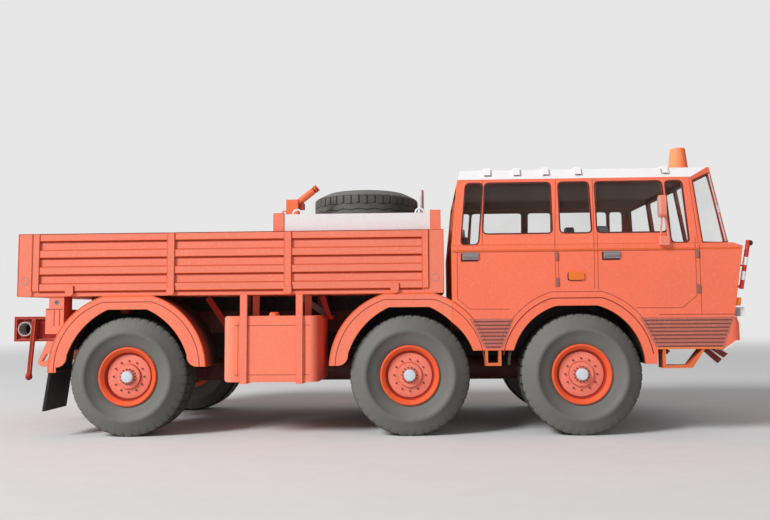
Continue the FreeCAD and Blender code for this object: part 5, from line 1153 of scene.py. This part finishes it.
# Mirrors: a rounded card head with a bright face, on two wires that rise from a block.
mirror_pink = card("mirror_print", (0.86, 0.25, 0.165), (0.92, 0.42, 0.33), width=0.4, touch=0.7)
mirror_face = card("mirror_face", (0.72, 0.40, 0.34), (0.85, 0.6, 0.55), rub=0.0, mottle=0.03)


def from_front(y, z, x):
    """Puts a point of an outline that is drawn from the front."""
    return x, y, z


mirrors = Shape()
mirrors.prism(rounded_oblong(38.9, 64.9, 42.4, 71.6, 1.5), 75.2, 77.0, from_front)
mirrors.prism(rounded_oblong(39.3, 65.4, 42.0, 71.1), 75.05, 75.3, from_front, 1)
for low, high in ((75.5, 76.0), (77.7, 76.9)):
    mirrors.tube([(low, 40.2, 58.9), (low, 40.6, 59.8), (high, 40.65, 66.0)], 0.3, 8)
mirrors.prism(rounded_oblong(75.2, 56.55, 78.1, 59.25, 0.5), 39.0, 40.6, from_side)
finished("door_mirrors", mirrors.mirrored(), [mirror_pink, mirror_face], stands_for="mirrors",
         bevel=0.25)

# Beacon: a rolled cone of orange card on a ring, closed with a disc, with painted shade on its
# side that looks forwards and painted light on the side that looks back.
beacon_orange = card("beacon_print", (0.93, 0.26, 0.10), (0.95, 0.42, 0.2), width=0.4, mottle=0.1,
                     shade=paint_light_and_shade((0.86, 0.10, 0.02), (0.95, 0.40, 0.17)))
beacon = Shape()
beacon.lathe([(0, 0), (0, 3.2), (0.5, 3.2), (0.55, 3.08), (2.6, 2.86), (5.2, 2.56), (7.1, 2.36),
              (7.5, 2.2), (7.58, 1.95), (7.58, 0)], even_turn(48))
finished("beacon_cone", beacon, [beacon_orange], "amber_card", stands_for="beacon",
         at=(86.4, -25.05, roof_top), facing=Matrix.Rotation(math.pi / 2, 4, "X"))

# Lamps of the nose: round card headlamps behind a printed ring, and small lamps with white ends
# at its corners, with an orange indicator above each.
glass_print = card("headlamp_print", (0.72, 0.73, 0.72), (0.85, 0.85, 0.85), mottle=0.15, bump=0.5)
lamp_back = card("lamp_back", (0.42, 0.34, 0.36), (0.7, 0.64, 0.65))
nose_slope = (cab_front - nose_foot) / (belt - 1.0 - bumper_top)


def on_nose(y, z, out):
    """Puts a point on the nose panel, which leans forward as it rises."""
    return nose_foot + (z - bumper_top) * nose_slope + out, y, z


nose_lamps = Shape()
lamp_y, lamp_z = 27.05, 41.0
for radius, low, high, steps, ink in ((3.0, -0.3, 0.35, 40, 1), (2.6, 0.3, 0.7, 40, 0),
                                      (1.7, 0.65, 0.95, 32, 0)):
    nose_lamps.prism(circle(lamp_y, lamp_z, radius, steps), low, high, on_nose, ink)
for n in range(-3, 4):
    reach = math.sqrt(2.5 ** 2 - (n * 0.7) ** 2)
    nose_lamps.line(rise(lamp_y + n * 0.7, lamp_z - reach, lamp_z + reach), 0.1, 0.6, 0.74, on_nose)
box = oblong(34.8, 35.2, 37.3, 37.75)
nose_lamps.prism(box, 97.2, 99.3, from_front, 2)
nose_lamps.prism(box, 99.3, 100.5, from_front, 4)
nose_lamps.prism(oblong(34.7, 37.7, 37.4, 37.95), 97.2, 100.5, from_front, 4)
nose_lamps.prism(oblong(34.6, 38.4, 38.6, 40.8), -0.05, 1.6, on_nose, 3)
lamp_white = card("lamp_white", (0.88, 0.87, 0.88), (0.95, 0.95, 0.95))
finished("nose_lamps", nose_lamps.mirrored(),
         [glass_print, trim_card, lamp_back, lamp_orange, lamp_white], "lamp_card",
         stands_for="front_lamps", bevel=0.12)

# Nose panel: printed seams, a slotted grille between the headlamps and a blank plate.
nose_drawn = Shape()
for row in range(6):
    nose_drawn.line(run(38.6 + row * 1.9, -19, 19), 0.5, line_sunk, 0.07, on_nose)
inked(nose_drawn, [oblong(-20.5, 37.2, 20.5, 49.6)], 0.2, on_nose, 1, True)
inked(nose_drawn, [run(z, -37.8, 37.8) for z in (55.0, 51.8)], 0.22, on_nose, 1)
finished("nose_lines", nose_drawn, [louvre_ink, seam_brown])

# Bumper: a red card box with a pale unpainted edge, and a thin lip folded out under it.
bumper_red = card("bumper_print", (0.88, 0.165, 0.09), (0.85, 0.4, 0.3), width=0.25, touch=0.4)
dress(bumper_red, "front_bumper")
pale_edge = card("pale_edge", (0.84, 0.80, 0.78), (0.9, 0.88, 0.86))
bumper_trim = Shape()
bumper_trim.line([(97.6, 34.9), (98.3, 33.2), (98.6, 31.5), (98.65, 29.8), (98.35, 28.3)], 0.4,
                 line_sunk, 0.08, face)
bumper_trim = bumper_trim.mirrored()
bumper_trim.line([(93.3, 25.3), (96.95, 27.85), (98.9, 27.9)], 0.42, -39.0, 39.0, from_side)
finished("bumper_lip", bumper_trim, [pale_edge])
plate("front_plate", -8, 29.6, 8, 33.2, (0, 0.3, 0.36), lambda y, z, out: (98.95 + out, y, z))

# Width rods: thin rolled card rods banded red and white, each with a black bead on top.
band_red = card("band_red", (0.62, 0.03, 0.02), (0.8, 0.2, 0.12), width=0.2)
band_white = card("band_white", (0.85, 0.83, 0.83), (0.95, 0.93, 0.92), width=0.2)
rod_y = 37.45


def up_rod(z):
    """A point on the left rod's middle line, which leans forward."""
    return 99.75 + (z - 43.5) * 2.6 / 14.1, rod_y, z


rods = Shape()
for low, high, ink in ((43.4, 46.0, 0), (46.0, 48.6, 1), (48.6, 50.5, 0), (50.5, 52.9, 1),
                       (52.9, 58.0, 0)):
    rods.tube([up_rod(low), up_rod(high)], 0.7 if ink else 0.66, 14, ink)
top = Vector(up_rod(57.2)) + Vector((0.55, 0, 0))
angles = [math.pi * n / 10 for n in range(11)]
rods.tube([top - Vector((0, 0, 0.9 * math.cos(angle))) for angle in angles],
          [max(0.02, 0.92 * math.sin(angle)) for angle in angles], 16, 2)
rods.tube([(97.9, rod_y, 44.1), (99.9, rod_y, 44.1)], 0.42, 10)
rods.tube([(98.9, rod_y, 50.4), (101.3, rod_y, 50.4)], 0.25, 8)
finished("width_rod_bars", rods.mirrored(), [band_red, band_white, bead_black], "grey_card",
         stands_for="width_rods")

# Steps: bent strips of red card under the sill.
step_red = card("step_print", (0.70, 0.14, 0.05), (0.92, 0.30, 0.08), width=0.45, touch=1.0)
dress(step_red, "cab_steps")

# Floor, backdrop and light: a wide pale floor that runs back to a pale haze, a large soft lamp
# high at the left and front, and a weaker one at the right to open the shade.
ground_mesh = bpy.data.meshes.new("studio_floor")
ground_reach = 6.0
ground_mesh.from_pydata([(x, y, 0) for x, y in oblong(*[-ground_reach] * 2, *[ground_reach] * 2)],
                        [], [(0, 1, 2, 3)])
ground = set_up("studio_floor", ground_mesh)
pale, pale_tree = blank("pale_floor")
pale_shader = pale_tree.nodes["Principled BSDF"]
surface = spots(pale_tree)
feed(pale_tree, pale_shader.inputs["Base Color"],
     blended(pale_tree, clouds(pale_tree, surface, 160, 5), (0.74, 0.74, 0.745),
             (0.80, 0.80, 0.805)))
pale_shader.inputs["Roughness"].default_value = 0.95
pale_shader.inputs["Specular IOR Level"].default_value = 0.1
backdrop_level, fill_level = 0.80, 0.34
fade_from, fade_to = 0.26, 1.1
reach = place(pale_tree, "VectorMath", {0: surface}, operation="LENGTH").outputs["Value"]
fade = place(pale_tree, "MapRange", {"Value": reach, "From Min": fade_from, "From Max": fade_to},
             interpolation_type="SMOOTHERSTEP").outputs[0]
rays = place(pale_tree, "LightPath").outputs
direct = maths(pale_tree, "MAXIMUM", rays["Is Camera Ray"], rays["Is Glossy Ray"])
glow = place(pale_tree, "Emission", {"Color": (1.0, 1.0, 1.0), "Strength": backdrop_level})
mixed = place(pale_tree, "MixShader", {0: maths(pale_tree, "MULTIPLY", fade, direct),
                                       1: pale_shader.outputs[0], 2: glow.outputs[0]})
pale_tree.links.new(mixed.outputs[0], pale_tree.nodes["Material Output"].inputs["Surface"])
ground_mesh.materials.append(pale)

world = bpy.data.worlds.new("studio")
scene.world = world
world.use_nodes = True
sky = world.node_tree
rays = place(sky, "LightPath").outputs
seen = maths(sky, "MAXIMUM", maths(sky, "MAXIMUM", rays["Is Camera Ray"], rays["Is Glossy Ray"]),
             rays["Is Transmission Ray"])
backdrop = sky.nodes["Background"].inputs
feed(sky, backdrop["Color"], (1.0, 1.0, 1.0))
feed(sky, backdrop["Strength"],
     maths(sky, "MULTIPLY_ADD", seen, backdrop_level - fill_level, fill_level))
for name, aim, place_at, size, power in (
        ("key_lamp", (0.0, 0.0, 0.03), (-0.86, -0.82, 0.86), 0.5, 17.5),
        ("fill_lamp", (0.02, 0.0, 0.03), (0.7, -1.0, 0.35), 0.9, 0.7)):
    lamp = bpy.data.lights.new(name, "AREA")
    lamp.shape = "DISK"
    lamp.size = size
    lamp.energy = power
    holder = set_up(name, lamp)
    look = (Vector(aim) - Vector(place_at)).to_track_quat("-Z", "Y")
    holder.matrix_world = Matrix.Translation(place_at) @ look.to_matrix().to_4x4()

scene.view_settings.view_transform = "Standard"
